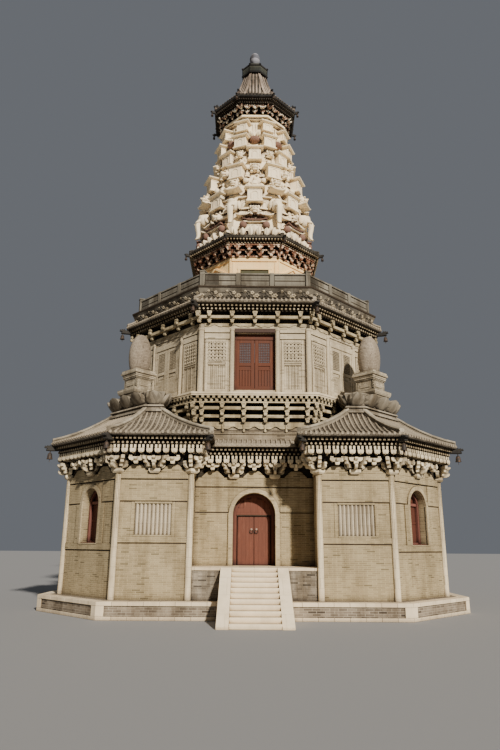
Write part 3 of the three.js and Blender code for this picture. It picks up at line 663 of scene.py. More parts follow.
LEAF_HALF, LEAF_HEAD = 0.69, 3.6
SURROUND_FRONT, LEAF_FRONT = -NICHE_BACK, -5.11
frame_parts = [arch_band("door_frame", NICHE_HALF - 0.13, NICHE_HALF - 0.001, FLOOR, NICHE_SPRING,
                         SURROUND_FRONT - 0.06, SURROUND_FRONT + 0.01),
               block("lintel", (-NICHE_HALF + 0.01, SURROUND_FRONT - 0.025, LEAF_HEAD + 0.045),
                     (NICHE_HALF - 0.01, SURROUND_FRONT + 0.01, LEAF_HEAD + 0.13), 0.004),
               block("threshold", (-LEAF_HALF, SURROUND_FRONT - 0.06, FLOOR),
                     (LEAF_HALF, SURROUND_FRONT + 0.02, FLOOR + 0.008), 0.003)]
ARCH_BOARD = 0.139
for x in (-0.56, -0.28, 0.0, 0.28, 0.56):
    rise = math.sqrt(max(0.0, (NICHE_HALF - 0.1) ** 2 - (abs(x) + 0.13) ** 2))
    frame_parts.append(block("arch_board", (x - ARCH_BOARD, SURROUND_FRONT - 0.02, LEAF_HEAD + 0.13),
                             (x + ARCH_BOARD, SURROUND_FRONT + 0.01, NICHE_SPRING + rise), 0.002))
fit(join("door_frame", frame_parts), red_timber)
# A dark strip over the leaves' heads: painted shadow under the lintel.
head_shadow = block("head_shadow", (-LEAF_HALF, SURROUND_FRONT - 0.012, LEAF_HEAD + 0.002),
                 (LEAF_HALF, SURROUND_FRONT + 0.01, LEAF_HEAD + 0.045))
fit(head_shadow, shadow_line)
dress("door_surround", red_timber)

dark_iron = patchy("Weathered dark iron", rgb(58, 54, 50), rgb(104, 80, 62), 14.0, 0.62, 60.0, 0.003,
                   detail=5.0, metal=0.35, edges=(0.4, 0.75))
worn_brass = patchy("Dusty worn brass", rgb(140, 108, 94), rgb(180, 154, 136), 30.0, 0.6, 60.0, 0.003,
                    metal=0.2)
LEAF_BOARD, RING_HEIGHT, BOSS_HEIGHT = 0.15, 3.0, 3.08
for side, leaf in ((-1, "left"), (1, "right")):
    boards = []
    for i in range(4):
        ends = sorted((side * (0.03 + i * LEAF_BOARD), side * (0.178 + i * LEAF_BOARD)))
        boards.append(block("leaf_board", (ends[0], LEAF_FRONT - 0.014, FLOOR + 0.03),
                            (ends[1], LEAF_FRONT + 0.002, LEAF_HEAD - 0.03), 0.002))
    fit(join(f"{leaf}_leaf_boards", boards), red_timber, f"{leaf}_door")
    dress(f"door_leaf_{leaf}", red_timber)
    only()
    bpy.ops.mesh.primitive_torus_add(
        major_segments=20, minor_segments=8, major_radius=0.07, minor_radius=0.011,
        location=(side * 0.1, LEAF_FRONT - 0.045, RING_HEIGHT), rotation=(math.pi / 2 - 0.2, 0, 0))
    fit(named(f"{leaf}_leaf_ring"), dark_iron, f"{leaf}_door", smooth=40)
    only()
    bpy.ops.mesh.primitive_uv_sphere_add(segments=14, ring_count=8, radius=0.05, scale=(1, 0.7, 1),
                                         location=(side * 0.1, LEAF_FRONT - 0.014, BOSS_HEIGHT))
    fit(named(f"{leaf}_leaf_boss"), worn_brass, f"{leaf}_door", smooth=40)


# Brackets of the first-storey eaves: carved brick blocks and arms in two tiers. A large set
# stands on each column and at the middle of each face, a smaller one between, and cups over all.
OVERHANG = 0.8
EAVE_TOP = 6.44
EIGHTH_SLOPE = math.tan(EIGHTH / 2)


def repeated(name, piece, places, turns):
    """The piece at each place of one side, and that side repeated round the tower."""
    return copies(name, copies(name, piece, places), turns)


def side_place(x, y, angle):
    """The middle of a side that faces this way."""
    return shift(x, y) @ turn(angle)


def eave_sides():
    """The front right pavilion's five sides: place, half width, and how each end spreads outwards."""
    depth_middle = (MAIN_OUTER + PAVILION_SIDE) / 2
    depth_half = (PAVILION_SIDE - MAIN_OUTER) / 2
    full_half = (PAVILION_CORNER - MAIN_HALF_SIDE) / 2
    diagonal_half = (PAVILION_SIDE - PAVILION_CORNER) / math.sqrt(2)
    return [(side_place(MAIN_HALF_SIDE, -depth_middle, -QUARTER), depth_half, -1, 1),
            (side_place(straight_middle, -PAVILION_SIDE, 0), full_half, 1, EIGHTH_SLOPE),
            (turn(EIGHTH) @ shift(0, -PAVILION_DIAGONAL), diagonal_half, EIGHTH_SLOPE, EIGHTH_SLOPE),
            (side_place(PAVILION_SIDE, -straight_middle, QUARTER), full_half, EIGHTH_SLOPE, 1),
            (side_place(depth_middle, -MAIN_HALF_SIDE, math.pi), depth_half, 1, -1)]


pavilion_sides = eave_sides()
main_side = (shift(0, -MAIN_OUTER), MAIN_HALF_SIDE, -1, -1)


def row(item, side, pitch, reach, mitred=True):
    """Copies of an item along a side, evenly spread at this distance out, and cut at the mitres."""
    place, half, left, right = side
    length = 2 * half + (left + right) * reach
    count = max(1, round(length / pitch))
    start = -half - left * reach
    made = item.copy()
    made.data = item.data.copy()
    bpy.context.collection.objects.link(made)
    made = copies("row", made, [shift(start + (i + 0.5) * length / count) for i in range(count)])
    if mitred:
        trim(made, (-half, 0, 0), (-1, left, 0))
        trim(made, (half, 0, 0), (1, right, 0))
    made.data.transform(place)
    return made


def rows(name, item, sides, pitch, reach, turns, mitred=True):
    """The same row on each side, repeated round the tower."""
    made = join(name, [row(item, side, pitch, reach, mitred) for side in sides])
    bpy.data.objects.remove(item)
    return copies(name, made, turns)


def beam(name, sides, turns, near, far, low, high):
    """A straight beam along each side, between two distances out from the wall, mitred."""
    made = []
    for place, half, left, right in sides:
        outline = [(-half - left * near, -near), (half + right * near, -near),
                   (half + right * far, -far), (-half - left * far, -far)]
        piece = skin("beam", [[(x, y, z) for x, y in outline] for z in (low, high)])
        piece.data.transform(place)
        made.append(piece)
    return copies(name, join(name, made), turns)


def arm(length, height, depth, low, out=0.0, across=True):
    """A bracket arm with up-curved ends, along the wall or pointing out from it."""
    half = length / 2
    curve = [(-1, 1), (-1, 0.6), (-0.9, 0.25), (-0.68, 0), (0.68, 0), (0.9, 0.25), (1, 0.6), (1, 1)]
    outline = [(x * half, low + z * height) for x, z in curve]
    if across:
        return along_y("arm", outline, -out - depth / 2, -out + depth / 2)
    return skin("arm", [[(x, y - out, z) for y, z in outline] for x in (-depth / 2, depth / 2)])


def cup(width, height, low, x=0.0, out=0.0):
    """A bearing block: square, with a splayed foot."""
    return stack("cup", 4, [(low, width * 0.36), (low + height * 0.4, width / 2), (low + height, width / 2)],
                 (x, -out), flat_out=True)


# The dark corner tones of both bracket bricks are painted shade in the hollows between the carved parts.
bracket_brick = masonry("Carved bracket brick", rgb(250, 234, 198), rgb(212, 194, 160), rgb(184, 168, 138),
                        0.14, 0.4, 0.004, 0.005, patch=0.6, painted_shade_tone=rgb(96, 84, 68))
dull_bracket_brick = masonry("Dull bracket brick", rgb(214, 197, 160), rgb(158, 142, 112), rgb(150, 136, 110),
                             0.14, 0.4, 0.004, 0.005, patch=0.7, painted_shade_tone=rgb(62, 54, 44))
EAVE_SET_TOP = 5.63


def wing(low, high, reach, thick):
    """A lobed board that stands on edge and points out from the wall, its lower corner stepped."""
    half = thick / 2
    edge = [(0.2, 1), (-1, 1), (-0.98, 0.7), (-0.86, 0.62), (-0.84, 0.36), (-0.66, 0.28), (-0.6, 0), (0.2, 0)]
    rings = []
    for x, inset in ((-half, 0.015), (-half + 0.015, 0), (half - 0.015, 0), (half, 0.015)):
        rings.append([(x, y * (reach - inset), low + inset + z * (high - low - 2 * inset)) for y, z in edge])
    return skin("wing", rings)


def eave_set():
    """The large set on a column or at the middle of a face: arms out and across, and a wing each way."""
    parts = [cup(0.42, 0.17, 5.02), arm(0.78, 0.16, 0.12, 5.19, 0.05), arm(0.9, 0.16, 0.1, 5.19, 0.05, False),
             cup(0.17, 0.1, 5.36, 0, 0.36), arm(0.5, 0.15, 0.12, 5.46, 0.38),
             arm(1.0, 0.13, 0.1, 5.48, 0.05, False)]
    for side in (-1, 1):
        parts.append(cup(0.15, 0.1, 5.35, side * 0.32, 0.05))
        board = wing(5.24, EAVE_SET_TOP, 0.62, 0.13)
        board.data.transform(turn(side * EIGHTH))
        parts.append(board)
    return join("eave_set", parts)


def middle_set():
    """The smaller set between two large ones: one arm along the wall on a block, and a tongue."""
    parts = [cup(0.16, 0.11, 5.34, 0, 0.3), arm(0.54, 0.14, 0.13, 5.45, 0.32),
             arm(0.62, 0.12, 0.09, 5.45, 0.18, False)]
    for side in (-1, 1):
        parts.append(cup(0.11, 0.08, 5.57, side * 0.2, 0.32))
    return join("middle_set", parts)


def upper_cup():
    """One cup of the upper tier: a short arm curved up at its ends, with a horn on each."""
    parts = [arm(0.22, 0.15, 0.14, 5.73, 0.46), arm(0.5, 0.1, 0.05, 5.7, 0.3, False)]
    for side in (-1, 1):
        parts.append(cup(0.08, 0.17, 5.85, side * 0.07, 0.46))
    return join("upper_cup", parts)


INFILL_TOP = 5.33


def infill(base, top):
    """The wall's brickwork that rises between two bracket bases, with sloping shoulders."""
    outline = [(base / 2, WALL_TOP - 0.01), (base / 2, WALL_TOP + 0.03), (top / 2, INFILL_TOP - 0.03),
               (top / 2 - 0.06, INFILL_TOP)]
    outline = [(-x, z) for x, z in outline] + outline[::-1]
    return along_y("infill", outline, -0.07, 0.02)


corner_turns = [(corner_columns[0], -EIGHTH), (corner_columns[1], EIGHTH / 2),
                (corner_columns[2], 1.5 * EIGHTH), (corner_columns[3], 3 * EIGHTH)]
middles = [side[0] for side in pavilion_sides[1:4]]
middles += [side_place(x, y, angle) for (x, y), angle in corner_turns]
quarters = [place @ shift(x * half / 2) for place, half, _, _ in pavilion_sides[1:4] for x in (-1, 1)]
quarters += [pavilion_sides[0][0], pavilion_sides[4][0]]
main_quarters = [shift(x, -MAIN_OUTER) for x in (-1.66, 0, 1.66)]
CUP_PITCH, CUP_REACH = 0.305, 0.46
pavilion_sets = repeated("sets", eave_set(), middles, four_sides)
pavilion_middles = repeated("sets", middle_set(), quarters, four_sides)
pavilion_cups = rows("cups", upper_cup(), pavilion_sides, CUP_PITCH, CUP_REACH, four_sides, False)
fit(join("pavilion_brackets", [pavilion_sets, pavilion_middles, pavilion_cups]), bracket_brick)

MAIN_DROP = 0.13
main_sets = repeated("sets", eave_set(), [shift(x, -MAIN_OUTER) for x in (-0.82, 0.82)], four_sides)
main_middles = repeated("sets", middle_set(), main_quarters, four_sides)
main_cups = rows("cups", upper_cup(), [main_side], CUP_PITCH, CUP_REACH, four_sides, False)
main_cups.data.transform(shift(z=-MAIN_DROP))
fit(join("main_brackets", [main_sets, main_middles, main_cups]), bracket_brick)
bracket_infill = repeated("bracket_infill", infill(0.88, 0.46), quarters + main_quarters, four_sides)
fit(bracket_infill, wall_brick)


# Rafters of the first-storey eaves, in two rows: round ends below, square ends above.
# They are of brick, set into the eave and pointing a little down.
def rafter(width, height, low, near, far, drop=0.02, sides=4):
    """A rafter that points out and a little down."""
    reach = math.sqrt(2) if sides == 4 else 1
    angles = [2 * math.pi * (i + 0.5) / sides for i in range(sides)]
    ring = [(width / 2 * math.cos(a) * reach, height / 2 * math.sin(a) * reach) for a in angles]
    return skin("rafter", [[(x, -out, low + height / 2 + z - fall) for x, z in ring]
                           for out, fall in ((near, 0.0), (far, drop))])


rafter_finish = masonry("Rafter brick", rgb(204, 186, 152), rgb(140, 124, 98), rgb(120, 108, 90),
                        0.5, 0.5, 0.003, 0.003, patch=0.7)
RAFTER_PITCH = 0.165
first_rafters = []
for sides, drop in ((pavilion_sides, 0.0), ([main_side], MAIN_DROP)):
    for item, reach in ((rafter(0.085, 0.085, 6.08, 0.34, 0.54, 0.03, 6), 0.54),
                        (rafter(0.085, 0.08, 6.235, 0.4, 0.63), 0.63)):
        first_rafters.append(rows("rafters", item, sides, RAFTER_PITCH, reach, four_sides))
        first_rafters[-1].data.transform(shift(z=-drop))
fit(join("first_rafters", first_rafters), rafter_finish)


# Pavilion roofs: a stepped soffit of dark brick, and over it a slope of pan tiles with rows of
# round tiles, end tiles along the eave, and pale clay ridges up the hips.
grey_tile, tile_place, _ = start_finish("Grey roof tile")
tile_courses = tile_place.node("SeparateXYZ", {0: tile_place}).output("Z") * 9.0
tile_seam = tile_courses.node("Math", {0: tile_courses}, operation="FRACT").span(0.0, 0.14)
tile_tone = tile_place.cloud(1.3, 5.0, 0.65)
tile_grain = tile_place.cloud(26.0, 3.0)
tile_colour = (tile_tone * 0.9 + tile_grain * 0.5 - 0.2).between(rgb(102, 92, 79), rgb(192, 176, 150))
tile_moss = tile_place.cloud(0.8, 5.0, 0.7).span(0.55, 0.75).between(WHITE, rgb(176, 166, 130))
# Painted shade: the tile colour darkens in hollows between the round tiles and under their ends.
tile_painted_shade = open_air(tile_place, 0.14).span(0.3, 0.95).between(rgb(104, 95, 85), WHITE)
tile_colour = (tile_seam * 0.35 + 0.65).between(rgb(92, 86, 78), tile_colour)
end_finish(grey_tile, tile_colour.times(tile_moss).times(tile_painted_shade), tile_grain * 0.2 + 0.75,
           tile_seam + tile_grain * 0.4, 0.008)
soffit_brick = masonry("Dark soffit brick", rgb(78, 68, 54), rgb(46, 40, 32), rgb(40, 35, 28),
                       COURSE, BRICK_LENGTH, 0.006, 0.006, patch=0.6)
pan_tile = masonry("Shaded pan tile", rgb(148, 136, 118), rgb(100, 92, 79), rgb(60, 54, 46),
                   0.12, 0.19, 0.012, 0.01, patch=0.7)
ridge_clay = masonry("Pale ridge clay", rgb(184, 172, 150), rgb(134, 124, 106), rgb(118, 108, 92),
                     0.5, 0.6, 0.003, 0.003, patch=0.6)


def slope_height(inset):
    """The tile slope of the first eaves at a distance in from the edge."""
    return EAVE_TOP + 0.3 * inset + 0.115 * inset * inset


CROWN_INSET, CROWN_TOP, FREE_BACK = 2.25, 7.95, 6.32
STEEP_INSET = 1.8
EAVE_BACK = MAIN_OUTER + 0.0003


def pavilion_outline(offset, back):
    """The front right pavilion's outline, moved out by offset and closed by a diagonal back."""
    side = PAVILION_SIDE + offset
    corner = (PAVILION_DIAGONAL + offset) * math.sqrt(2) - side
    recess = MAIN_HALF_SIDE - offset
    line = back * math.sqrt(2)
    return [(recess, recess - line), (recess, -side), (corner, -side),
            (side, -corner), (side, -recess), (line - recess, -recess)]


def pavilion_stack(name, steps):
    """A solid on the pavilion's plan: each step a height, an offset and how far back it goes."""
    return skin(name, [[(x, y, z) for x, y in pavilion_outline(offset, back)] for z, offset, back in steps])


under_eave = [(WALL_TOP, 0.0), (5.62, 0.02), (5.68, 0.16), (5.95, 0.18), (6.03, 0.36), (6.2, 0.4),
              (6.3, 0.5), (6.33, 0.76), (6.34, 0.79)]
soffits = pavilion_stack("pavilion_soffits", [(z, offset, EAVE_BACK) for z, offset in under_eave])
soffits = fit(copies("pavilion_soffits", soffits, four_sides), soffit_brick)
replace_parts(soffits, *[f"{corner}_pavilion_roof" for corner in PAVILIONS])

roof_steps = [(6.34, 0.795, EAVE_BACK), (6.4, OVERHANG, EAVE_BACK)]
for inset in (0.0, 0.15, 0.45, 0.9, 1.35, STEEP_INSET, 2.05, CROWN_INSET):
    back = EAVE_BACK if inset < STEEP_INSET else FREE_BACK
    roof_steps.append((slope_height(inset), OVERHANG - inset, back))
pavilion_slopes = copies("pavilion_slopes", pavilion_stack("pavilion_slopes", roof_steps), four_sides)
fit(pavilion_slopes, pan_tile)

TILE_PITCH, TILE_RADIUS, TILE_FACETS = 0.19, 0.05, 5


def rib(path):
    """A row of round tiles laid over the slope along this path of distance out and height."""
    angles = [math.pi * i / TILE_FACETS for i in range(TILE_FACETS + 1)]
    return skin("rib", [[(-TILE_RADIUS * math.cos(a), -out, height - 0.02 + 1.6 * TILE_RADIUS * math.sin(a))
                         for a in angles] for out, height in path])


def eave_tile(out, height, radius):
    """The round end tile of a rib, and the drip tile that hangs beside it."""
    only()
    bpy.ops.mesh.primitive_cylinder_add(vertices=8, radius=radius, depth=0.05,
                                        location=(0, -out + 0.01, height), rotation=(math.pi / 2, 0, 0))
    disc = named("disc")
    reach = TILE_PITCH / 2 - radius * 0.7
    outline = [(-reach, 0.015), (-reach, -0.02), (0, -0.075), (reach, -0.02), (reach, 0.015)]
    drip = along_y("drip", [(x + TILE_PITCH / 2, height + z) for x, z in outline], -out + 0.005, -out + 0.04)
    return join("eave_tile", [disc, drip])


def tile_rows(path, sides, reach, turns, end_height, pitch=TILE_PITCH, end_radius=0.055):
    """Rows of round tiles up from the eave, and the row of end tiles and drip tiles."""
    ribs = rows("ribs", rib(path), sides, pitch, reach, turns)
    ends = eave_tile(path[0][0], end_height, end_radius)
    return [ribs, rows("ends", ends, sides, pitch, reach, turns, False)]


END_HEIGHT = 6.445
rib_path = [(OVERHANG - inset, slope_height(inset)) for inset in (0.0, 0.4, 0.8, 1.25, 1.7, 2.2)]
pavilion_tiles = tile_rows(rib_path, pavilion_sides, OVERHANG, four_sides, END_HEIGHT)
fit(join("pavilion_tiles", pavilion_tiles), grey_tile, smooth=35)


def ridge(path, half, height, across):
    """A double-banded ridge with a rounded top along a path, as wide as its section is across."""
    side = [(1.0, -0.15), (1.0, 0.28), (0.78, 0.32), (0.78, 0.52), (1.0, 0.57), (1.0, 0.78), (0.6, 1.0)]
    section = [(u * half, v * height) for u, v in side]
    section += [(-u, v) for u, v in reversed(section)]
    return skin("ridge", [[tuple(Vector(point) + Vector(across) * u + Vector((0, 0, v))) for u, v in section]
                          for point in path])


hips = []
for (x, y), spread in zip(corner_columns, ((-1, -1), (EIGHTH_SLOPE, -1), (1, -EIGHTH_SLOPE), (1, 1))):
    heading = Vector((spread[0], spread[1], 0)).normalized()
    path = [(x + spread[0] * (OVERHANG - inset), y + spread[1] * (OVERHANG - inset), slope_height(inset))
            for inset in (0.03, 0.4, 0.85, 1.3, 1.75, 2.2)]
    hips.append(ridge(path, 0.11, 0.2, (-heading.y, heading.x, 0)))
wall_ridge_path = [(x, -MAIN_OUTER - 0.09, slope_height(x - MAIN_HALF_SIDE + OVERHANG) - 0.02)
                   for x in (1.9, 2.3, 2.8, 3.3)]
hips.append(ridge(wall_ridge_path, 0.1, 0.24, (0, 1, 0)))
hips.append(ridge([(-y, -x, z) for x, y, z in wall_ridge_path], 0.1, 0.24, (1, 0, 0)))
fit(copies("pavilion_hips", join("hips", hips), four_sides), ridge_clay, smooth=35)


# Corner beams under the hips: tarred timber that points out past the eave and ends in a beast's
# open jaws, with an iron bell hung from each by a rod.
def bell(drop=0.16, scale=1.0):
    """A small bell on a rod, its mouth wider than its crown, with a clapper plate."""
    steps = [(-drop - 0.24, 0.11), (-drop - 0.2, 0.092), (-drop - 0.08, 0.078), (-drop - 0.03, 0.05),
             (-drop, 0.014), (0.0, 0.014)]
    plate = block("plate", (-0.045, -0.005, -drop - 0.34), (0.045, 0.005, -drop - 0.23))
    piece = join("bell", [stack("bell", 12, steps), plate])
    piece.data.transform(Matrix.Scale(scale, 4))
    return piece


def corner_beam(scale=1.0):
    """The corner beam under a hip, with the beast's jaws at its end."""
    outline = [(0.5, 0.1), (-0.1, 0.1), (-0.14, 0.19), (-0.2, 0.12), (-0.26, 0.16), (-0.33, 0.1),
               (-0.38, 0.13), (-0.4, 0.04), (-0.3, 0.02), (-0.24, -0.03), (-0.32, -0.06), (-0.3, -0.11),
               (-0.12, -0.12), (0.5, -0.08)]
    widths = ((-0.085, 0.75), (-0.0595, 1.0), (0.0595, 1.0), (0.085, 0.75))
    piece = skin("corner_beam", [[(x, y, z * share) for y, z in outline] for x, share in widths])
    piece.data.transform(Matrix.Scale(scale, 4))
    return piece


dark_timber = patchy("Tarred timber", rgb(34, 32, 31), rgb(66, 62, 56), 8.0, 0.8, 30.0, 0.003, detail=4.0)
beam_places, bell_places = [], []
for (x, y), angle in corner_turns:
    outer_corner = abs(angle - EIGHTH) < 1
    reach = OVERHANG / math.cos(EIGHTH / 2) if outer_corner else OVERHANG * math.sqrt(2) - 0.25
    beam_places.append(side_place(x, y, angle) @ shift(0, -reach + 0.08, 6.24))
    bell_places.append(side_place(x, y, angle) @ shift(0, -reach - 0.02, 6.18))
corner_beams = repeated("corner_beams", corner_beam(0.85), beam_places, four_sides)
fit(corner_beams, dark_timber, smooth=35)
fit(repeated("first_bells", bell(0.08, 1.15), bell_places, four_sides), dark_iron, smooth=40)


# Main eave between the pavilions: a short tiled slope, a plain ledge over it, and a band of
# brickwork carved in waves with a drop under each bracket of the gallery.
LEDGE_LOW, LEDGE_HIGH, GALLERY_BOTTOM = 6.68, 6.88, 7.25


def cut_square(side, diagonal):
    """The corners of a square of this half width, its own corners cut at the diagonal distance."""
    corner = diagonal * math.sqrt(2) - side
    return [(-corner, -side), (corner, -side), (side, -corner), (side, corner),
            (corner, side), (-corner, side), (-side, corner), (-side, -corner)]


def square_stack(name, steps):
    """A solid of eight sides, its straight sides standing out from the tower's own line."""
    return skin(name, [[(x, y, z) for x, y in cut_square(MAIN_OUTER + offset, MAIN_OUTER)]
                       for z, offset in steps])


main_steps = under_eave[:1] + [(z - MAIN_DROP, offset) for z, offset in under_eave[1:]]
main_under = fit(square_stack("main_soffit", main_steps), soffit_brick)
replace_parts(main_under, "main_eave")
main_slope = square_stack("main_slope", [(6.34, 0.795), (6.4, OVERHANG), (EAVE_TOP, OVERHANG),
                                         (slope_height(0.4), 0.4), (slope_height(0.78), 0.02)])
main_slope.data.transform(shift(z=-MAIN_DROP))
fit(main_slope, grey_tile)
main_rib_path = [(OVERHANG - inset, slope_height(inset)) for inset in (0.0, 0.25, 0.5, 0.74)]
main_tiles = join("main_tiles", tile_rows(main_rib_path, [main_side], OVERHANG, four_sides, END_HEIGHT))
main_tiles.data.transform(shift(z=-MAIN_DROP))
fit(main_tiles, grey_tile, smooth=35)
ledge_brick = masonry("Dusty ledge brick", rgb(186, 170, 144), rgb(134, 122, 102), rgb(110, 98, 82),
                      COURSE, BRICK_LENGTH, 0.003, 0.003, patch=0.7)
ledge = square_stack("main_ledge", [
    (slope_height(0.78) - MAIN_DROP - 0.05, 0.1), (LEDGE_LOW, 0.1), (LEDGE_LOW + 0.03, 0.06),
    (LEDGE_HIGH - 0.07, 0.06), (LEDGE_HIGH - 0.05, 0.1), (LEDGE_HIGH, 0.1),
    (LEDGE_HIGH + 0.005, 0.03), (GALLERY_BOTTOM, 0.03)])
fit(ledge, ledge_brick)

eight_sides = [turn(k * EIGHTH) for k in range(8)]
WAVE_LENGTH, WAVE_LOW, WAVE_HIGH = 0.87, 7.08, 7.33
wave_places = [shift((k - 2) * WAVE_LENGTH) for k in range(5)]


def wave(low, share, high, plane, stand):
    """One wave of the carved band, its lower edge swinging up and down."""
    outline = []
    for i in range(13):
        angle = 2 * math.pi * (i / 12 - 0.5)
        swing = 0.03 * math.cos(2 * angle) + 0.045 * math.cos(angle)
        outline.append((angle / (2 * math.pi) * WAVE_LENGTH, low + swing * share))
    outline += [(WAVE_LENGTH / 2, high), (-WAVE_LENGTH / 2, high)]
    return along_y("wave", outline, -plane - stand, -plane - stand + 0.08)


drop_steps = [(6.9, 0.02), (6.93, 0.05), (6.98, 0.055), (7.04, 0.035), (7.1, 0.06), (7.2, 0.07)]
wave_unit = join("wave", [wave(WAVE_LOW, 1, WAVE_HIGH, MAIN_OUTER, 0.09),
                          stack("drop", 8, drop_steps, (WAVE_LENGTH / 2, -MAIN_OUTER - 0.08))])
fit(repeated("wave_bands", wave_unit, wave_places, eight_sides), dull_bracket_brick)
# A dark strip under the carved band: painted shadow.
wave_shadow_line = block("wave_shadow_lines", (-2.2, -MAIN_OUTER - 0.04, 6.965), (2.2, -MAIN_OUTER, 6.995), 0.004)
fit(copies("wave_shadow_lines", wave_shadow_line, eight_sides), shadow_line)


# Stupas: a lotus band of fat ribbed petals over a moulded crown, a waisted square pedestal
# turned to the diagonal, and an egg-shaped dome of brick courses.
STUPA_CENTRE, LOTUS_TOP = 5.0, 8.5
LOTUS_FOOT = OVERHANG - CROWN_INSET
crown_steps = [(slope_height(CROWN_INSET) - 0.35, 0.2), (7.52, 0.2), (7.56, 0.13), (7.62, 0.13), (7.66, 0.2),
               (7.74, 0.2), (7.78, 0.08), (7.84, 0.06), (7.88, 0.13), (CROWN_TOP, 0.1)]
core_steps = [(CROWN_TOP, -0.02), (8.08, 0.0), (8.25, 0.08), (8.44, 0.16), (LOTUS_TOP, 0.1)]
lotus_parts = [pavilion_stack("lotus", [(z, LOTUS_FOOT + flare, FREE_BACK) for z, flare in steps])
               for steps in (crown_steps, core_steps)]

PETAL_RISE = ((0.0, 0.5, 0.0), (0.25, 0.88, 0.3), (0.55, 1.0, 0.62), (0.8, 0.9, 0.9), (0.95, 0.6, 1.06),
              (1.0, 0.3, 1.02))
PETAL_SECTION = ((-1, -0.1), (-0.75, 0.06), (-0.4, 0.08), (0, 0.14), (0.4, 0.08), (0.75, 0.06), (1, -0.1),
                 (0, -0.2))


def petal(width, low, high, lean):
    """A lotus petal seen from outside: broad and ribbed, with a pointed lip that curls out."""
    rings = []
    for rise, share, out in PETAL_RISE:
        level = low + (high - low) * rise
        rings.append([(u * share * width / 2, -out * lean - bulge * share, level + 0.04 * (1 - abs(u)))
                      for u, bulge in PETAL_SECTION])
    return skin("petal", rings)


lotus_side = PAVILION_SIDE + LOTUS_FOOT
lotus_diagonal = PAVILION_DIAGONAL + LOTUS_FOOT
lotus_corner = lotus_diagonal * math.sqrt(2) - lotus_side
lotus_recess = MAIN_HALF_SIDE - LOTUS_FOOT
short_half = (lotus_corner - lotus_recess) / 2
short_middle = (lotus_corner + lotus_recess) / 2
long_half = (lotus_side - lotus_corner) / math.sqrt(2)
return_half = (lotus_side - (FREE_BACK * math.sqrt(2) - lotus_recess)) / 2
petal_sides = [(side_place(short_middle, -lotus_side, 0), short_half, 1),
               (turn(EIGHTH) @ shift(0, -lotus_diagonal), long_half, 3),
               (side_place(lotus_side, -short_middle, QUARTER), short_half, 1),
               (side_place(lotus_recess, -lotus_side + return_half, -QUARTER), return_half, 2),
               (side_place(lotus_side - return_half, -lotus_recess, math.pi), return_half, 2)]
for place, half, count in petal_sides:
    width = 2 * half / count
    piece = petal(width * 1.16, CROWN_TOP + 0.01, LOTUS_TOP - 0.03, 0.27)
    petal_places = [place @ shift((i - (count - 1) / 2) * width) for i in range(count)]
    lotus_parts.append(copies("petals", piece, petal_places))
worn_brick = masonry("Worn grey stone", rgb(170, 158, 138), rgb(104, 96, 82), rgb(116, 106, 90),
                     0.5, 0.8, 0.004, 0.006, patch=0.85)
fit(copies("lotus_bands", join("lotus", lotus_parts), four_sides), worn_brick, smooth=40)

stupa_frame = shift(STUPA_CENTRE, -STUPA_CENTRE) @ turn(EIGHTH)


def square_block(steps):
    """A square stack on the stupa's axis, one side towards the corner of the tower."""
    piece = stack("pedestal", 4, [(z, side / 2) for z, side in steps], flat_out=True)
    piece.data.transform(stupa_frame)
    return piece


PEDESTAL_LOW, PEDESTAL_HIGH, PEDESTAL_HALF, EGG_BOTTOM = 8.86, 9.28, 0.43, 9.66
pedestal = [square_block(steps) for steps in (
    [(LOTUS_TOP - 0.01, 1.05), (8.58, 1.09), (8.6, 1.16), (8.7, 1.25), (8.8, 1.25)],
    [(8.8, 0.98), (8.84, 0.98), (PEDESTAL_LOW, 0.84), (PEDESTAL_HIGH, 0.82)],
    [(PEDESTAL_HIGH, 0.92), (9.32, 0.92), (9.34, 0.96), (9.39, 0.96), (9.41, 1.0), (9.46, 1.0)],
    [(9.46, 0.98), (9.49, 1.1), (9.57, 1.1), (9.59, 1.04), (EGG_BOTTOM, 1.04)])]
trim_parts = [block("post", (left, -PEDESTAL_HALF, PEDESTAL_LOW),
                    (right, -PEDESTAL_HALF + 0.08, PEDESTAL_HIGH), 0.008)
              for left, right in pair(PEDESTAL_HALF - 0.08, PEDESTAL_HALF)]
for low, high in ((PEDESTAL_LOW, PEDESTAL_LOW + 0.05), (PEDESTAL_HIGH - 0.05, PEDESTAL_HIGH)):
    trim_parts.append(block("rail", (-PEDESTAL_HALF, -PEDESTAL_HALF, low),
                            (PEDESTAL_HALF, -PEDESTAL_HALF + 0.06, high), 0.006))
trim_parts.append(block("panel", (-0.24, -PEDESTAL_HALF - 0.005, 8.95),
                        (0.24, -PEDESTAL_HALF + 0.05, 9.13), 0.012))
pedestal.append(copies("trim", join("trim", trim_parts), [stupa_frame @ side for side in four_sides]))
pedestal_brick = masonry("Weathered pedestal brick", rgb(204, 190, 164), rgb(150, 138, 116),
                         rgb(132, 120, 100), COURSE, 0.3, 0.005, 0.005, patch=0.6)
fit(copies("pedestals", join("pedestals", pedestal), four_sides), pedestal_brick)
# Dark rings flush under the pedestal's mouldings: painted shadow in place of deep grooves.
groove_shadows = [square_block([(z, side), (z + 0.035, side)])
            for z, side in ((9.458, 1.012), (9.305, 0.935), (8.8, 1.02))]
fit(copies("pedestal_groove_shadows", join("groove_shadows", groove_shadows), four_sides), shadow_line)

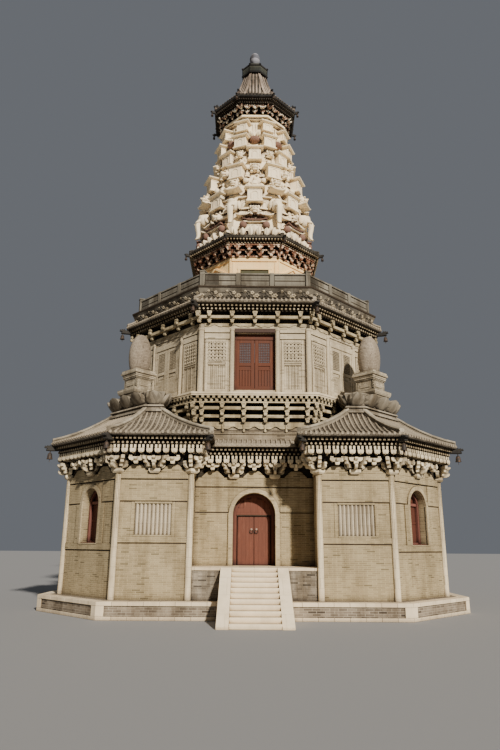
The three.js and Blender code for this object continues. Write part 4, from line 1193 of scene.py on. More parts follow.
EGG_TOP, EGG_RADIUS, EGG_COURSES, EGG_WAIST = 11.37, 0.485, 25, 0.42
egg_steps = []
for i in range(EGG_COURSES + 1):
    rise = i / EGG_COURSES
    away = (rise - EGG_WAIST) / (1 - EGG_WAIST) if rise > EGG_WAIST else (EGG_WAIST - rise) / 0.68
    share = math.sqrt(max(0.0, 1 - away ** 2))
    egg_steps.append((EGG_BOTTOM + rise * (EGG_TOP - EGG_BOTTOM), max(0.02, EGG_RADIUS * share)))
egg = stack("egg", 28, egg_steps, (STUPA_CENTRE, -STUPA_CENTRE))
egg_brick = masonry("Rosy dome brick", rgb(184, 169, 148), rgb(142, 128, 110), rgb(124, 110, 94),
                    COURSE, 0.3, 0.006, 0.006, patch=0.5)
eggs = fit(copies("stupa_domes", egg, four_sides), egg_brick, smooth=30)
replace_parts(eggs, *[f"{corner}_stupa" for corner in PAVILIONS])


# Gallery under the second storey: sets of blocks that step out, two rows of pale beams
# between them in front of a dark recess, and two rows of dentils under the edge.
GALLERY_WALL, GALLERY_EDGE, GALLERY_FLOOR = 5.7, 6.28, 8.5
CORNER = 1 / math.cos(EIGHTH / 2)
first_corner = turn(EIGHTH / 2)


def octagon_stack(name, steps):
    """A solid of eight equal sides: each step a height and the distance of the sides."""
    return skin(name, [[(x, y, z) for x, y in cut_square(apothem, apothem)] for z, apothem in steps])


def octagon_side(apothem):
    """The front side of an octagon, for rows and beams that meet at its corners."""
    return [(shift(0, -apothem), apothem * EIGHTH_SLOPE, EIGHTH_SLOPE, EIGHTH_SLOPE)]


def octagon_beams(side, sizes):
    """Beams round the tower, each given by two distances out and two heights."""
    return [beam("beams", side, eight_sides, near, far, low, high) for near, far, low, high in sizes]


def stepped_set(levels, width, thick):
    """A narrow set: at each level a tongue points out, with a short cross arm and blocks on it."""
    parts = []
    for low, high, out in levels:
        rise = high - low
        parts.append(arm(2 * out, rise * 0.5, thick, low + rise * 0.5, 0.0, False))
        parts.append(cup(thick * 1.5, rise * 0.45, low, 0, out - 0.06))
        parts.append(arm(width, rise * 0.42, thick * 0.8, low + rise * 0.5, out - 0.06))
        for side in (-1, 1):
            x = side * (width / 2 - thick * 0.4)
            parts.append(cup(thick * 0.8, rise * 0.2, low + rise * 0.84, x, out - 0.06))
    return join("set", parts)


def octagon_sets(levels, width, thick, wall, across, corner_stand=0.03):
    """Stepped sets along each side of the octagon and one on each corner."""
    places = [shift(x, -wall) for x in across]
    places.append(first_corner @ shift(0, -wall * CORNER - corner_stand))
    return repeated("sets", stepped_set(levels, width, thick), places, eight_sides)


recess = octagon_stack("gallery_recess", [(GALLERY_BOTTOM, 5.76), (7.3, 5.76), (7.34, GALLERY_WALL),
                                          (8.06, GALLERY_WALL), (8.1, 6.02), (8.36, 6.05), (8.37, 6.2)])
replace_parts(fit(recess, soffit_brick), "gallery")
gallery_side = octagon_side(GALLERY_WALL)
gallery_parts = octagon_beams(gallery_side, ((0.05, 0.2, 7.5, 7.62), (0.14, 0.34, 7.81, 7.94),
                                             (0.3, 0.46, 8.07, 8.12), (0.3, 0.49, 8.225, 8.245)))
gallery_parts.append(octagon_sets([(7.3, 7.51, 0.24), (7.56, 7.82, 0.36), (7.86, 8.08, 0.48)], 0.19, 0.09,
                                  GALLERY_WALL, (-2.17, -1.33, -0.445, 0.445, 1.33, 2.17)))
DENTIL_PITCH = 0.22
for left, right, front, low, high, reach in ((-0.055, 0.055, 0.47, 8.125, 8.225, 0.44),
                                             (0.055, 0.165, 0.54, 8.245, 8.35, 0.5)):
    dentil = block("dentil", (left, -front, low), (right, -0.3, high))
    gallery_parts.append(rows("dentils", dentil, gallery_side, DENTIL_PITCH, reach, eight_sides))
fit(join("gallery_brackets", gallery_parts), dull_bracket_brick)
gallery_edge = octagon_stack("gallery_edge", [
    (8.355, 6.1), (8.355, 6.25), (8.4, 6.25), (8.41, GALLERY_EDGE - 0.01), (8.43, GALLERY_EDGE),
    (8.485, GALLERY_EDGE), (GALLERY_FLOOR, GALLERY_EDGE - 0.015)])
fit(gallery_edge, smooth_brick)


# Second storey: pale rubbed brickwork with round columns. Each straight side has closed
# brown lattice doors between two panelled bays; each slanted side has the same in brick.
SECOND_OUTER, SECOND_WALL_TOP = 5.568, 11.48
pale_brick = masonry("Pale rubbed brick", rgb(216, 200, 170), rgb(180, 164, 134), rgb(160, 146, 118),
                     COURSE, BRICK_LENGTH, 0.003, 0.003, patch=0.4)
dress("second_storey_wall", pale_brick)
bay_steps = [(GALLERY_FLOOR, 0.13), (8.56, 0.13), (8.58, 0.102), (11.38, 0.099), (11.39, 0.115),
             (SECOND_WALL_TOP, 0.115)]
second_columns = [stack("column", 14, bay_steps, (x, -SECOND_OUTER)) for x in (-0.975, 0.975)]
corner_steps = [(z, radius + 0.025) for z, radius in bay_steps]
second_columns.append(stack("column", 16, corner_steps, (SECOND_OUTER * EIGHTH_SLOPE, -SECOND_OUTER)))
shafts = copies("second_columns", join("second_columns", second_columns), eight_sides)
fit(shafts, pale_brick, smooth=40)

BAY_LEFT, BAY_RIGHT, PANEL_LEFT, PANEL_RIGHT = 1.08, 2.17, 1.24, 2.01
LATTICE_LOW, LATTICE_HIGH, BAY_FOOT, STILE_TOP = 10.03, 10.9, 8.66, 10.98
bay_parts = [strip(left, right, SECOND_OUTER, low, high, stand) for left, right, low, high, stand in (
    (BAY_LEFT, BAY_RIGHT, 11.3, SECOND_WALL_TOP, 0.05), (BAY_LEFT, BAY_RIGHT, 11.02, 11.26, 0.03),
    (BAY_LEFT, BAY_RIGHT, 8.52, BAY_FOOT, 0.045), (1.15, PANEL_LEFT, BAY_FOOT, STILE_TOP, 0.035),
    (PANEL_RIGHT, 2.1, BAY_FOOT, STILE_TOP, 0.035), (PANEL_LEFT, PANEL_RIGHT, LATTICE_HIGH, STILE_TOP, 0.033),
    (PANEL_LEFT, PANEL_RIGHT, 9.94, 10.02, 0.033), (PANEL_LEFT, PANEL_RIGHT, 9.82, 9.86, 0.033),
    (PANEL_LEFT, PANEL_RIGHT, BAY_FOOT, 8.78, 0.033))]
bay_parts += [strip(x - 0.018, x + 0.018, SECOND_OUTER, 8.78, 9.82, 0.028, 0)
              for x in (1.24, 1.49, 1.745, 2.0)]
# Dark strips on the rails, beside the slats, at the bay's edge and behind the lattice: painted shade.
bay_shadow_lines = [strip(BAY_LEFT, BAY_RIGHT, SECOND_OUTER, low, low + LINE, 0.006, 0) for low in (11.265, 10.985)]
bay_shadow_lines += [strip(1.26, 1.99, SECOND_OUTER, low, low + 0.022, 0.036, 0) for low in (9.985, 9.835)]
bay_shadow_lines += [strip(x - 0.009, x + 0.009, SECOND_OUTER, 8.8, 9.8, 0.004, 0.002)
              for x in (1.365, 1.43, 1.555, 1.62, 1.68, 1.81, 1.87)]
bay_shadow_lines += [strip(BAY_RIGHT - 0.03, BAY_RIGHT, SECOND_OUTER, BAY_FOOT, STILE_TOP, 0.006, 0),
              strip(PANEL_LEFT, PANEL_RIGHT, SECOND_OUTER, LATTICE_LOW, LATTICE_HIGH, 0.005, 0.002)]


def lattice(left, right, low, high, front, pitch, bar, slant):
    """Crossed bars that fill a panel, straight or on the slant, cut to its edges."""
    reach = (right - left) / 2 + (high - low) / 2
    strips = []
    count = int(reach / pitch) + 1
    for i in range(-count, count + 1):
        upright = block("bar", (-bar / 2, front, -reach), (bar / 2, front + 0.03, reach))
        upright.data.transform(shift(i * pitch))
        level = block("bar", (-reach, front, -bar / 2), (reach, front + 0.034, bar / 2))
        level.data.transform(shift(z=i * pitch))
        strips += [upright, level]
    net = join("net", strips)
    if slant:
        net.data.transform(Matrix.Rotation(EIGHTH, 4, "Y"))
    net.data.transform(shift((left + right) / 2, 0, (low + high) / 2))
    for point, normal in (((left, 0, 0), (-1, 0, 0)), ((right, 0, 0), (1, 0, 0)),
                          ((0, 0, low), (0, 0, -1)), ((0, 0, high), (0, 0, 1))):
        trim(net, point, normal)
    return net


bay_parts.append(lattice(PANEL_LEFT, PANEL_RIGHT, LATTICE_LOW, LATTICE_HIGH, -SECOND_OUTER - 0.026,
                         0.11, 0.036, True))
STUD_PITCH = 0.155
stud = stack("stud", 6, [(-0.02, 0.045), (0.02, 0.035), (0.035, 0.012)])
stud.data.transform(shift(0, -SECOND_OUTER - 0.02) @ Matrix.Rotation(QUARTER, 4, "X"))
bay_parts.append(copies("studs", stud, [shift(1.312 + i * STUD_PITCH, 0, 10.08 + k * STUD_PITCH)
                                        for i in range(5) for k in range(6)]))
mirror = Matrix.Scale(-1, 4, (1, 0, 0))
both_hands = [Matrix.Identity(4), mirror]
fit(repeated("second_bays", join("bay", bay_parts), both_hands, eight_sides), pale_brick)
fit(repeated("second_shadow_lines", join("lines", bay_shadow_lines), both_hands, eight_sides), shadow_line)

DOOR_HALF, DOOR_SILL, DOOR_HEAD, DOOR_RAIL = 0.88, 8.75, 11.3, 11.05
BOARD_LOW, BOARD_HIGH, DOOR_BACK = 8.98, 9.68, 0.24


def lattice_door(plane, half, slots):
    """A pair of closed door leaves in a frame: lattice above, rails, and slotted boards below."""
    parts = [strip(-half, half, plane, DOOR_RAIL, DOOR_HEAD, 0.06),
             strip(-half, half, plane, DOOR_SILL, DOOR_SILL + 0.13, 0.055)]
    parts += [strip(left, right, plane, DOOR_SILL, DOOR_HEAD, 0.05) for left, right in pair(half - 0.1, half)]
    for left, right in pair(0.012, 0.16) + pair(0.66, 0.78):
        parts.append(strip(left, right, plane, DOOR_SILL + 0.13, DOOR_RAIL, 0.03, 0.005))
    for left, right in pair(0.16, 0.66):
        for low, high in ((LATTICE_HIGH, DOOR_RAIL), (9.87, 10.02), (BOARD_HIGH, 9.74),
                          (DOOR_SILL + 0.13, BOARD_LOW)):
            parts.append(strip(left, right, plane, low, high, 0.028, 0.005))
        for i in range(slots):
            x = left + (i + 0.5) * 0.5 / slots
            parts.append(block("slat", (x - 0.19 / slots, -plane - 0.02, BOARD_LOW),
                               (x + 0.19 / slots, -plane + 0.01, BOARD_HIGH), 0.004))
        parts.append(lattice(left + 0.01, right - 0.01, LATTICE_LOW, LATTICE_HIGH, -plane - 0.024,
                             0.075, 0.016, False))
    return join("door", parts)


brown_timber = timber("Weathered brown timber", rgb(105, 58, 37), rgb(71, 41, 27), rgb(134, 88, 62))
closed_doors = lattice_door(SECOND_OUTER - DOOR_BACK, DOOR_HALF - 0.001, 4)
fit(copies("second_doors", closed_doors, four_sides), brown_timber)
for side in ("front", "right", "back", "left"):
    dress(f"second_storey_door_{side}", brown_timber)
lintel_timber = timber("Greyed lintel timber", rgb(78, 57, 46), rgb(54, 42, 35), rgb(96, 78, 65))
door_lintel = strip(-0.87, 0.87, SECOND_OUTER, 11.31, 11.49, 0.05, 0.008)
fit(copies("second_door_lintels", door_lintel, four_sides), lintel_timber)
panes = block("paper", (-0.66, -SECOND_OUTER + DOOR_BACK - 0.008, LATTICE_LOW),
              (0.66, -SECOND_OUTER + DOOR_BACK - 0.001, LATTICE_HIGH))
grey_paper = patchy("Dusty grey backing", rgb(68, 66, 68), rgb(96, 94, 96), 7.0, 0.8, 40.0, 0.001)
fit(copies("door_backings", panes, four_sides), grey_paper)
brick_doors = copies("brick_doors", lattice_door(SECOND_OUTER + 0.01, DOOR_HALF, 6), four_corners)
fit(brick_doors, pale_brick)
# Dark backing behind the brick lattice and slats: painted shade.
gap_shadows = [strip(left, right, SECOND_OUTER, low, high, 0.005, 0.002) for left, right in pair(0.16, 0.66)
        for low, high in ((LATTICE_LOW, LATTICE_HIGH), (BOARD_LOW, BOARD_HIGH))]
fit(copies("brick_door_gap_shadows", join("gap_shadows", gap_shadows), four_corners), shadow_line)


# Second eave: the same waves and stepped sets as the gallery, two rows of rafters and the
# edge of a narrow tiled slope, with a beam and a bell at each of its eight corners.
SECOND_EAVE_WALL, SECOND_EDGE = 5.62, 6.189
second_under = octagon_stack("second_soffit", [
    (SECOND_WALL_TOP, 5.58), (11.66, 5.6), (11.7, 5.6), (12.16, SECOND_EAVE_WALL), (12.2, 5.82),
    (12.36, 5.86), (12.42, 6.0), (12.46, 6.15), (12.5, 6.17)])
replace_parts(fit(second_under, soffit_brick), "second_storey_eave")
second_band = octagon_stack("second_band", [(SECOND_WALL_TOP - 0.01, 5.61), (11.68, 5.63), (11.7, 5.61)])
fit(second_band, pale_brick)
second_side = octagon_side(SECOND_EAVE_WALL)
second_parts = octagon_beams(second_side, ((0.08, 0.25, 11.87, 11.99),))
second_parts.append(repeated("waves", wave(11.58, 0.8, 11.7, SECOND_OUTER, 0.085), wave_places, eight_sides))
second_parts.append(octagon_sets([(11.68, 11.9, 0.22), (11.92, 12.16, 0.36)], 0.2, 0.09,
                                 SECOND_EAVE_WALL, (-1.96, -0.98, 0, 0.98, 1.96)))
fit(join("second_brackets", second_parts), dull_bracket_brick)


def upper_rafters(name, side, pitch, round_row, square_row, finish):
    """Two rows of rafters round an upper eave; each row gives its sizes and its reach."""
    made = []
    for (sizes, reach), facets in ((round_row, 6), (square_row, 4)):
        made.append(rows("rafters", rafter(*sizes, sides=facets), side, pitch, reach, eight_sides))
    return fit(join(name, made), finish)


def corner_hips(path, half, height):
    """A ridge up each corner of an upper roof; the path gives the sides' distance and the height."""
    hip = ridge([(0, -apothem * CORNER, z) for apothem, z in path], half, height, (1, 0, 0))
    return copies("hips", hip, eight_corners)


def corner_bells(storey, beam_scale, beam_at, bell_drop, bell_scale, bell_at):
    """The corner beams and bells of an upper eave, each at a distance out and a height."""
    beams = [corner @ shift(0, -beam_at[0], beam_at[1]) for corner in eight_corners]
    fit(copies(f"{storey}_beams", corner_beam(beam_scale), beams), dark_timber, smooth=35)
    bells = [corner @ shift(0, -bell_at[0], bell_at[1]) for corner in eight_corners]
    fit(copies(f"{storey}_bells", bell(bell_drop, bell_scale), bells), dark_iron, smooth=40)


eight_corners = [side @ first_corner for side in eight_sides]
upper_rafters("second_rafters", second_side, 0.18, ((0.09, 0.085, 12.24, 0.18, 0.36), 0.36),
              ((0.08, 0.07, 12.385, 0.22, 0.44), 0.44), rafter_finish)
second_slope = octagon_stack("second_slope", [(12.49, 6.175), (12.53, SECOND_EDGE), (12.58, SECOND_EDGE),
                                              (12.79, 5.8), (12.82, 5.72)])
fit(second_slope, pan_tile)
second_tiles = tile_rows([(0.569, 12.59), (0.38, 12.68), (0.2, 12.78), (0.1, 12.84)],
                         second_side, 0.569, eight_sides, 12.585)
second_tiles.append(corner_hips([(6.17, 12.6), (5.98, 12.7), (5.78, 12.84)], 0.09, 0.17))
fit(join("second_tiles", second_tiles), grey_tile, smooth=35)
corner_bells("second", 0.85, (6.68, 12.36), 0.08, 1.0, (6.88, 12.3))


# Terrace frieze: dark stone carved with curling clouds and worn pale flowers, which leans out
# under the moulded lip that carries the parapet.
carved_stone = masonry("Dark carved frieze", rgb(150, 140, 122), rgb(66, 61, 55), rgb(72, 66, 59),
                       2.0, 2.0, 0.002, 0.004, patch=0.9)
dress("terrace", carved_stone)
TERRACE_LOW, TERRACE_HIGH = (12.8, 5.73), (13.24, 5.93)
lean = math.atan2(TERRACE_HIGH[1] - TERRACE_LOW[1], TERRACE_HIGH[0] - TERRACE_LOW[0])
ROD_FACETS = 5


def rod(points, radius):
    """A bent rod through points in the plane of the wall, thinner at its ends."""
    rings = []
    for i, (x, z) in enumerate(points):
        ahead = points[min(i + 1, len(points) - 1)]
        behind = points[max(i - 1, 0)]
        way = Vector((ahead[0] - behind[0], 0, ahead[1] - behind[1])).normalized()
        thick = radius * (0.45 if i in (0, len(points) - 1) else 1.0)
        across, deep = Vector((-way.z, 0, way.x)) * thick, Vector((0, thick, 0))
        angles = [2 * math.pi * k / ROD_FACETS for k in range(ROD_FACETS)]
        rings.append([tuple(Vector((x, 0, z)) + across * math.cos(a) + deep * math.sin(a)) for a in angles])
    return skin("rod", rings)


def scroll(x, z, size, hand):
    """One curl that winds in from its tail."""
    points = []
    for i in range(12):
        angle = 0.5 + i * 0.52
        reach = size * (1 - i / 13)
        points.append((x + hand * reach * math.cos(angle), z + reach * math.sin(angle)))
    return rod(points, 0.026)


def ball(radius, x, y, z, scale=(1, 1, 1), detail=2):
    """A rounded lump, longer along some axes than others."""
    only()
    bpy.ops.mesh.primitive_ico_sphere_add(subdivisions=detail, radius=radius, location=(x, y, z), scale=scale)
    return named("ball")


scrolls = [scroll(-0.2, 0.2, 0.15, 1), scroll(0.12, 0.24, 0.14, -1), scroll(0.02, 0.1, 0.09, 1),
           rod([(-0.4, 0.1), (-0.3, 0.3), (-0.12, 0.36), (0.06, 0.3), (0.2, 0.12), (0.36, 0.08)], 0.024)]
flowers = []
for x, z, size in ((-0.32, 0.16, 0.1), (0.28, 0.28, 0.08), (-0.02, 0.34, 0.06), (0.37, 0.13, 0.06)):
    for k in range(5):
        angle = 2 * math.pi * k / 5
        flowers.append(ball(size * 0.6, x + 0.6 * size * math.cos(angle), 0, z + 0.6 * size * math.sin(angle),
                            (0.9, 0.55, 0.9), 1))


def on_frieze(name, parts):
    """Parts drawn on an upright wall, laid on the leaning frieze and repeated round the terrace."""
    made = join(name, parts)
    made.data.transform(shift(0, -TERRACE_LOW[1] - 0.005, TERRACE_LOW[0]) @ Matrix.Rotation(lean, 4, "X"))
    return repeated(name, made, [shift(x) for x in (-2.0, -1.2, -0.4, 0.4, 1.2, 2.0)], eight_sides)


fit(on_frieze("frieze_scrolls", scrolls), carved_stone, smooth=50)
fit(on_frieze("frieze_flowers", flowers), pale_brick, smooth=50)
# The lip is finished dark as painted shade under the parapet.
lip = octagon_stack("terrace_lip", [(13.23, 5.9), (13.26, 5.96), (13.3, 5.978), (13.335, 5.978), (13.35, 5.9),
                                    (13.36, 5.75)])
fit(lip, shadow_line)


# Parapet: thin walls of weathered brick round the terrace, panelled by bands between low posts
# and covered by a flat coping.
PARAPET_FACE, PARAPET_FOOT, COPING = 5.63, 13.4, 14.0
parapet_stone = masonry("Weathered parapet brick", rgb(151, 143, 126), rgb(94, 88, 77), rgb(104, 96, 84),
                        0.5, 0.8, 0.004, 0.006, patch=0.85)
parapet_parts, parapet_shadow_lines = [], []
for left, right in ((-2.2, -0.86), (-0.62, 0.62), (0.86, 2.2)):
    for low, high, stand in ((13.42, 13.56, 0.04), (13.56, 13.685, 0.03), (13.73, 13.83, 0.025),
                             (13.83, 13.96, 0.02)):
        parapet_parts.append(strip(left, right, PARAPET_FACE, low, high, stand, 0.008))
    # Dark strips between the bands and under the coping: painted shadow lines.
    parapet_shadow_lines.append(strip(left, right, PARAPET_FACE, 13.687, 13.728, 0.006, 0))
    parapet_shadow_lines.append(strip(left, right, PARAPET_FACE, 13.965, 13.995, 0.004, 0))
for half, stand, back, low, high, bevel in ((2.27, 0.045, 0.19, COPING, COPING + 0.075, 0.012),
                                            (2.33, 0, 0.15, PARAPET_FOOT, COPING + 0.01, 0.006)):
    parapet_parts.append(block("wall", (-half, -PARAPET_FACE - stand, low),
                               (half, -PARAPET_FACE + back, high), bevel))
for x in (-0.74, 0.74):
    parapet_parts.append(block("post", (x - 0.1, -PARAPET_FACE - 0.06, PARAPET_FOOT),
                               (x + 0.1, -PARAPET_FACE + 0.2, COPING + 0.09), 0.012))
for half, low, high in ((0.11, PARAPET_FOOT, 14.14), (0.13, 14.14, 14.2)):
    corner_post = block("post", (-half, -PARAPET_FACE * CORNER - half + 0.06, low),
                        (half, -PARAPET_FACE * CORNER + half + 0.1, high), 0.012)
    corner_post.data.transform(first_corner)
    parapet_parts.append(corner_post)
walling = copies("parapet_walling", join("parapet", parapet_parts), eight_sides)
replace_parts(fit(walling, parapet_stone), "parapet")
fit(copies("parapet_shadow_lines", join("lines", parapet_shadow_lines), eight_sides), shadow_line)


# Third storey: lime-washed stucco walls. The straight sides have an open doorway in a moulded
# frame, the slanted ones a gable outline over small openwork.
def stucco(name, light, dark, stain, reach, closed=0.2, open_edge=0.74, patches=2.6, flaked=0.0,
           streaks=0.45):
    """Old lime plaster or paint with streaks of stain, and painted shade in the stain's colour in hollows and
    under ledges.
    """
    material, where, facing = start_finish(name)
    soft = where.cloud(patches, 5.0, 0.6)
    grain = where.cloud(30.0, 3.0)
    share = soft * 1.2 + grain * 0.3 - 0.35
    body = (share.span(flaked, flaked + 0.12) if flaked else share).between(dark, light)
    # Painted shade: hollows and the undersides of ledges take the stain colour.
    painted_hollow_shade = (open_air(where, reach, 8) + soft * 0.4 - 0.2).span(closed, open_edge)
    streak = where.stretched(3.0, 3.0, 0.5).cloud(1.8, 4.0).span(0.58, 0.72)
    colour = painted_hollow_shade.between(stain, body)
    colour = (streak * streaks).between(colour, stain)
    return end_finish(material, colour, grain * 0.1 + 0.82, soft * 0.6 + grain * 0.5, 0.012)


lime_wash = stucco("Yellow lime wash", rgb(255, 226, 164), rgb(255, 206, 138), rgb(170, 126, 84),
                   0.3, 0.1, 0.55, streaks=0.12)
dress("third_storey_wall", lime_wash)
THIRD_OUTER, THIRD_FOOT, THIRD_WALL_TOP = 2.775, 13.41, 16.28
third_half = THIRD_OUTER * EIGHTH_SLOPE
front_frame = [strip(-third_half + 0.02, third_half - 0.02, THIRD_OUTER, 16.08, THIRD_WALL_TOP, 0.05, 0.01),
               strip(-0.86, 0.86, THIRD_OUTER, 15.63, 15.76, 0.035, 0.01),
               strip(-1.0, 1.0, THIRD_OUTER, 16.02, 16.05, 0.006, 0)]
for near, far, top, stand in ((0.7, 0.82, 15.63, 0.035), (1.0, 1.1, 16.04, 0.03)):
    front_frame += [strip(left, right, THIRD_OUTER, THIRD_FOOT, top, stand, 0.008)
                    for left, right in pair(near, far)]

GABLE_RISE = 0.75
gable_length = math.hypot(third_half, GABLE_RISE) - 0.06
slant_frame = [strip(-third_half + 0.02, third_half - 0.02, THIRD_OUTER, 16.12, THIRD_WALL_TOP, 0.05, 0.01),
               lattice(-0.62, 0.62, 14.5, 15.3, -THIRD_OUTER - 0.025, 0.2, 0.045, True),
               strip(-0.7, 0.7, THIRD_OUTER, 14.42, 14.5, 0.04, 0.008)]
for low, thick, stand in ((15.22, 0.1, 0.07), (14.98, 0.06, 0.045)):
    slat = strip(0.0, gable_length, THIRD_OUTER, 0.0, thick, stand)
    slat.data.transform(Matrix.Rotation(math.atan2(GABLE_RISE, third_half), 4, "Y"))
    slat.data.transform(shift(z=low + GABLE_RISE))
    slant_frame.append(copies("gable", slat, both_hands))
for left, right in pair(third_half - 0.14, third_half - 0.03):
    slant_frame.append(strip(left, right, THIRD_OUTER, THIRD_FOOT, 16.12, 0.035, 0.008))
third_frames = [copies("frames", join("frames", front_frame), four_sides),
                copies("frames", join("frames", slant_frame), four_corners)]
fit(join("third_frames", third_frames), lime_wash)
olive_timber = timber("Faded olive timber", rgb(88, 84, 54), rgb(54, 52, 36), rgb(104, 98, 70))
door_head = block("head", (-0.72, -THIRD_OUTER + 0.03, 15.42), (0.72, -THIRD_OUTER + 0.12, 15.65), 0.006)
fit(copies("third_door_heads", door_head, four_sides), olive_timber)


# Third eave: painted brackets, faded to red-brown and cream, under two rows of brick rafters
# and the edge of a narrow tiled slope.
# Its dark stain tone also paints shade into the brackets' hollows.
painted = stucco("Flaked bracket paint", rgb(226, 198, 166), rgb(130, 88, 66), rgb(38, 28, 22),
                 0.4, 0.34, 0.83, 5.5, 0.38)
dark_soffit = masonry("Dark timber soffit", rgb(84, 68, 54), rgb(48, 38, 32), rgb(38, 32, 28),
                      0.3, 1.2, 0.004, 0.004, patch=0.6)
dark_tile = masonry("Blackened roof tile", rgb(112, 104, 90), rgb(56, 52, 46), rgb(44, 40, 36),
                    0.11, 0.5, 0.01, 0.006, patch=0.8)
THIRD_EAVE_WALL = 2.8
third_side = octagon_side(THIRD_EAVE_WALL)
third_under = octagon_stack("third_soffit", [
    (THIRD_WALL_TOP, 2.74), (16.4, 2.76), (16.8, THIRD_EAVE_WALL), (16.84, 3.1), (17.0, 3.2), (17.1, 3.4),
    (17.12, 3.415)])
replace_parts(fit(third_under, dark_soffit), "third_storey_eave")
third_parts = octagon_beams(third_side, ((-0.04, 0.06, 16.28, 16.36), (0.08, 0.18, 16.6, 16.66),
                                         (0.26, 0.38, 16.8, 16.86)))
third_parts.append(octagon_sets([(16.3, 16.56, 0.2), (16.56, 16.82, 0.36)], 0.34, 0.1,
                                THIRD_EAVE_WALL, (-0.84, -0.28, 0.28, 0.84), 0))
fit(join("third_brackets", third_parts), painted)
upper_rafters("third_rafters", third_side, 0.155, ((0.075, 0.075, 16.88, 0.2, 0.44), 0.44),
              ((0.07, 0.06, 17.01, 0.3, 0.6), 0.58), rafter_finish)
third_tiles = tile_rows([(0.63, 17.21), (0.5, 17.26), (0.35, 17.31), (0.15, 17.37)], third_side, 0.63,
                        eight_sides, 17.2, 0.2, 0.052)
third_tiles.append(corner_hips([(3.41, 17.22), (3.25, 17.28), (3.0, 17.38)], 0.07, 0.14))
third_tiles.append(octagon_stack("slope", [(17.1, 3.405), (17.14, 3.43), (17.2, 3.43), (17.28, 3.2),
                                           (17.36, 3.0), (17.4, 2.5)]))
fit(join("third_tiles", third_tiles), dark_tile, smooth=35)
corner_bells("third", 0.62, (3.7, 17.06), 0.07, 0.7, (3.86, 17.02))


# Carved spire: a plastered core crowded with small towers, lions, seated figures, elephants
# and lotus petals, which step from tier to tier between the corners and the faces.
CORE = [(17.6, 2.7), (18.4, 2.6), (19.6, 2.53), (20.0, 2.48), (21.0, 2.23), (22.0, 2.02), (22.5, 1.92),
        (23.5, 1.73), (24.5, 1.57), (25.35, 1.48), (25.64, 1.6)]
between = [turn((k + share) * EIGHTH) for k in range(8) for share in (0.25, 0.75)]


def core_apothem(z):
    """How far the core's sides stand from the axis at a height."""
    for (low, near), (high, far) in zip(CORE, CORE[1:]):
        if z <= high:
            return near + (far - near) * (z - low) / (high - low)
    return CORE[-1][1]


def small_tower(width, height, depth=0.9):
    """A square house, its front at y = 0: foot slabs, pilasters, a blind arch, an eave and a hipped cap."""
    half = width / 2
    wall_low, wall_high = 0.14 * height, 0.72 * height
    parts = [block("foot", (-half - 0.07, -0.07, 0), (half + 0.07, depth, 0.06), 0.012),
             block("foot", (-half - 0.03, -0.03, 0.06), (half + 0.03, depth, wall_low), 0.01),
             block("wall", (-half + 0.02, 0.02, wall_low), (half - 0.02, depth, wall_high)),
             block("frieze", (-half, 0, wall_high - 0.07), (half, depth, wall_high))]
    for left, right in pair(half - 0.07, half):
        parts.append(block("pilaster", (left, 0, wall_low), (right, 0.08, wall_high), 0.008))
    spring = wall_low + (wall_high - wall_low) * 0.5
    parts.append(arch_band("arch", width * 0.2, width * 0.28, wall_low + 0.02, spring, -0.005, 0.05))
    cap = [(wall_high, half + 0.02), (wall_high + 0.04, half + 0.13), (wall_high + 0.09, half + 0.15),
           (wall_high + 0.16, half + 0.03), (height, half * 0.45)]
    parts.append(skin("cap", [[(-reach, half - reach, z), (reach, half - reach, z), (reach, depth, z),
                               (-reach, depth, z)] for z, reach in cap]))
    parts.append(ball(0.06, 0, half * 0.9, height + 0.02, detail=1))
    return join("tower", parts)


def lumps(name, size, middle, sides):
    """Rounded lumps joined as one: those on the middle line, and those that stand on both sides."""
    parts = [ball(size * radius, 0, y * size, z * size, scale, detail)
             for radius, y, z, scale, detail in middle]
    for radius, x, y, z, scale, detail in sides:
        parts += [ball(size * radius, side * x * size, y * size, z * size, scale, detail) for side in (-1, 1)]
    return join(name, parts)


def lion(size):
    """A lion's head with paws, looking out: brow, muzzle, open mouth, ears and a mane of curls."""
    curls = [(0.16, 0.68 * math.sin(angle), 0.16, 0.68 * math.cos(angle), (1, 1, 1), 1)
             for angle in (0.2, 0.9, 1.6, 2.3)]
    return lumps("lion", size,
                 [(0.62, 0.1, 0, (1, 0.9, 1), 2), (0.36, -0.42, -0.1, (1.15, 0.9, 0.75), 2),
                  (0.3, -0.34, -0.4, (1.1, 0.8, 0.5), 2), (0.14, -0.72, 0.04, (1, 1, 1), 1)],
                 [(0.2, 0.3, -0.4, 0.28, (1.1, 0.7, 0.6), 1), (0.2, 0.5, 0.0, 0.5, (0.8, 0.6, 1.2), 1),
                  (0.22, 0.42, -0.34, -0.72, (1, 1.3, 0.8), 1)] + curls)


def seated(size):
    """A calm seated figure in robes, its hands in its lap."""
    robe = stack("robe", 10, [(0, 0.42 * size), (0.14 * size, 0.44 * size), (0.26 * size, 0.3 * size),
                              (0.6 * size, 0.24 * size), (0.74 * size, 0.1 * size)])
    body = lumps("body", size, [(0.15, -0.02, 0.88, (0.9, 0.95, 1.15), 2), (0.07, 0, 1.06, (1, 1, 1), 1),
                                (0.12, -0.3, 0.26, (1.6, 0.8, 0.6), 1)],
                 [(0.12, 0.25, -0.02, 0.5, (0.8, 0.9, 1.7), 1)])
    return join("figure", [robe, body])


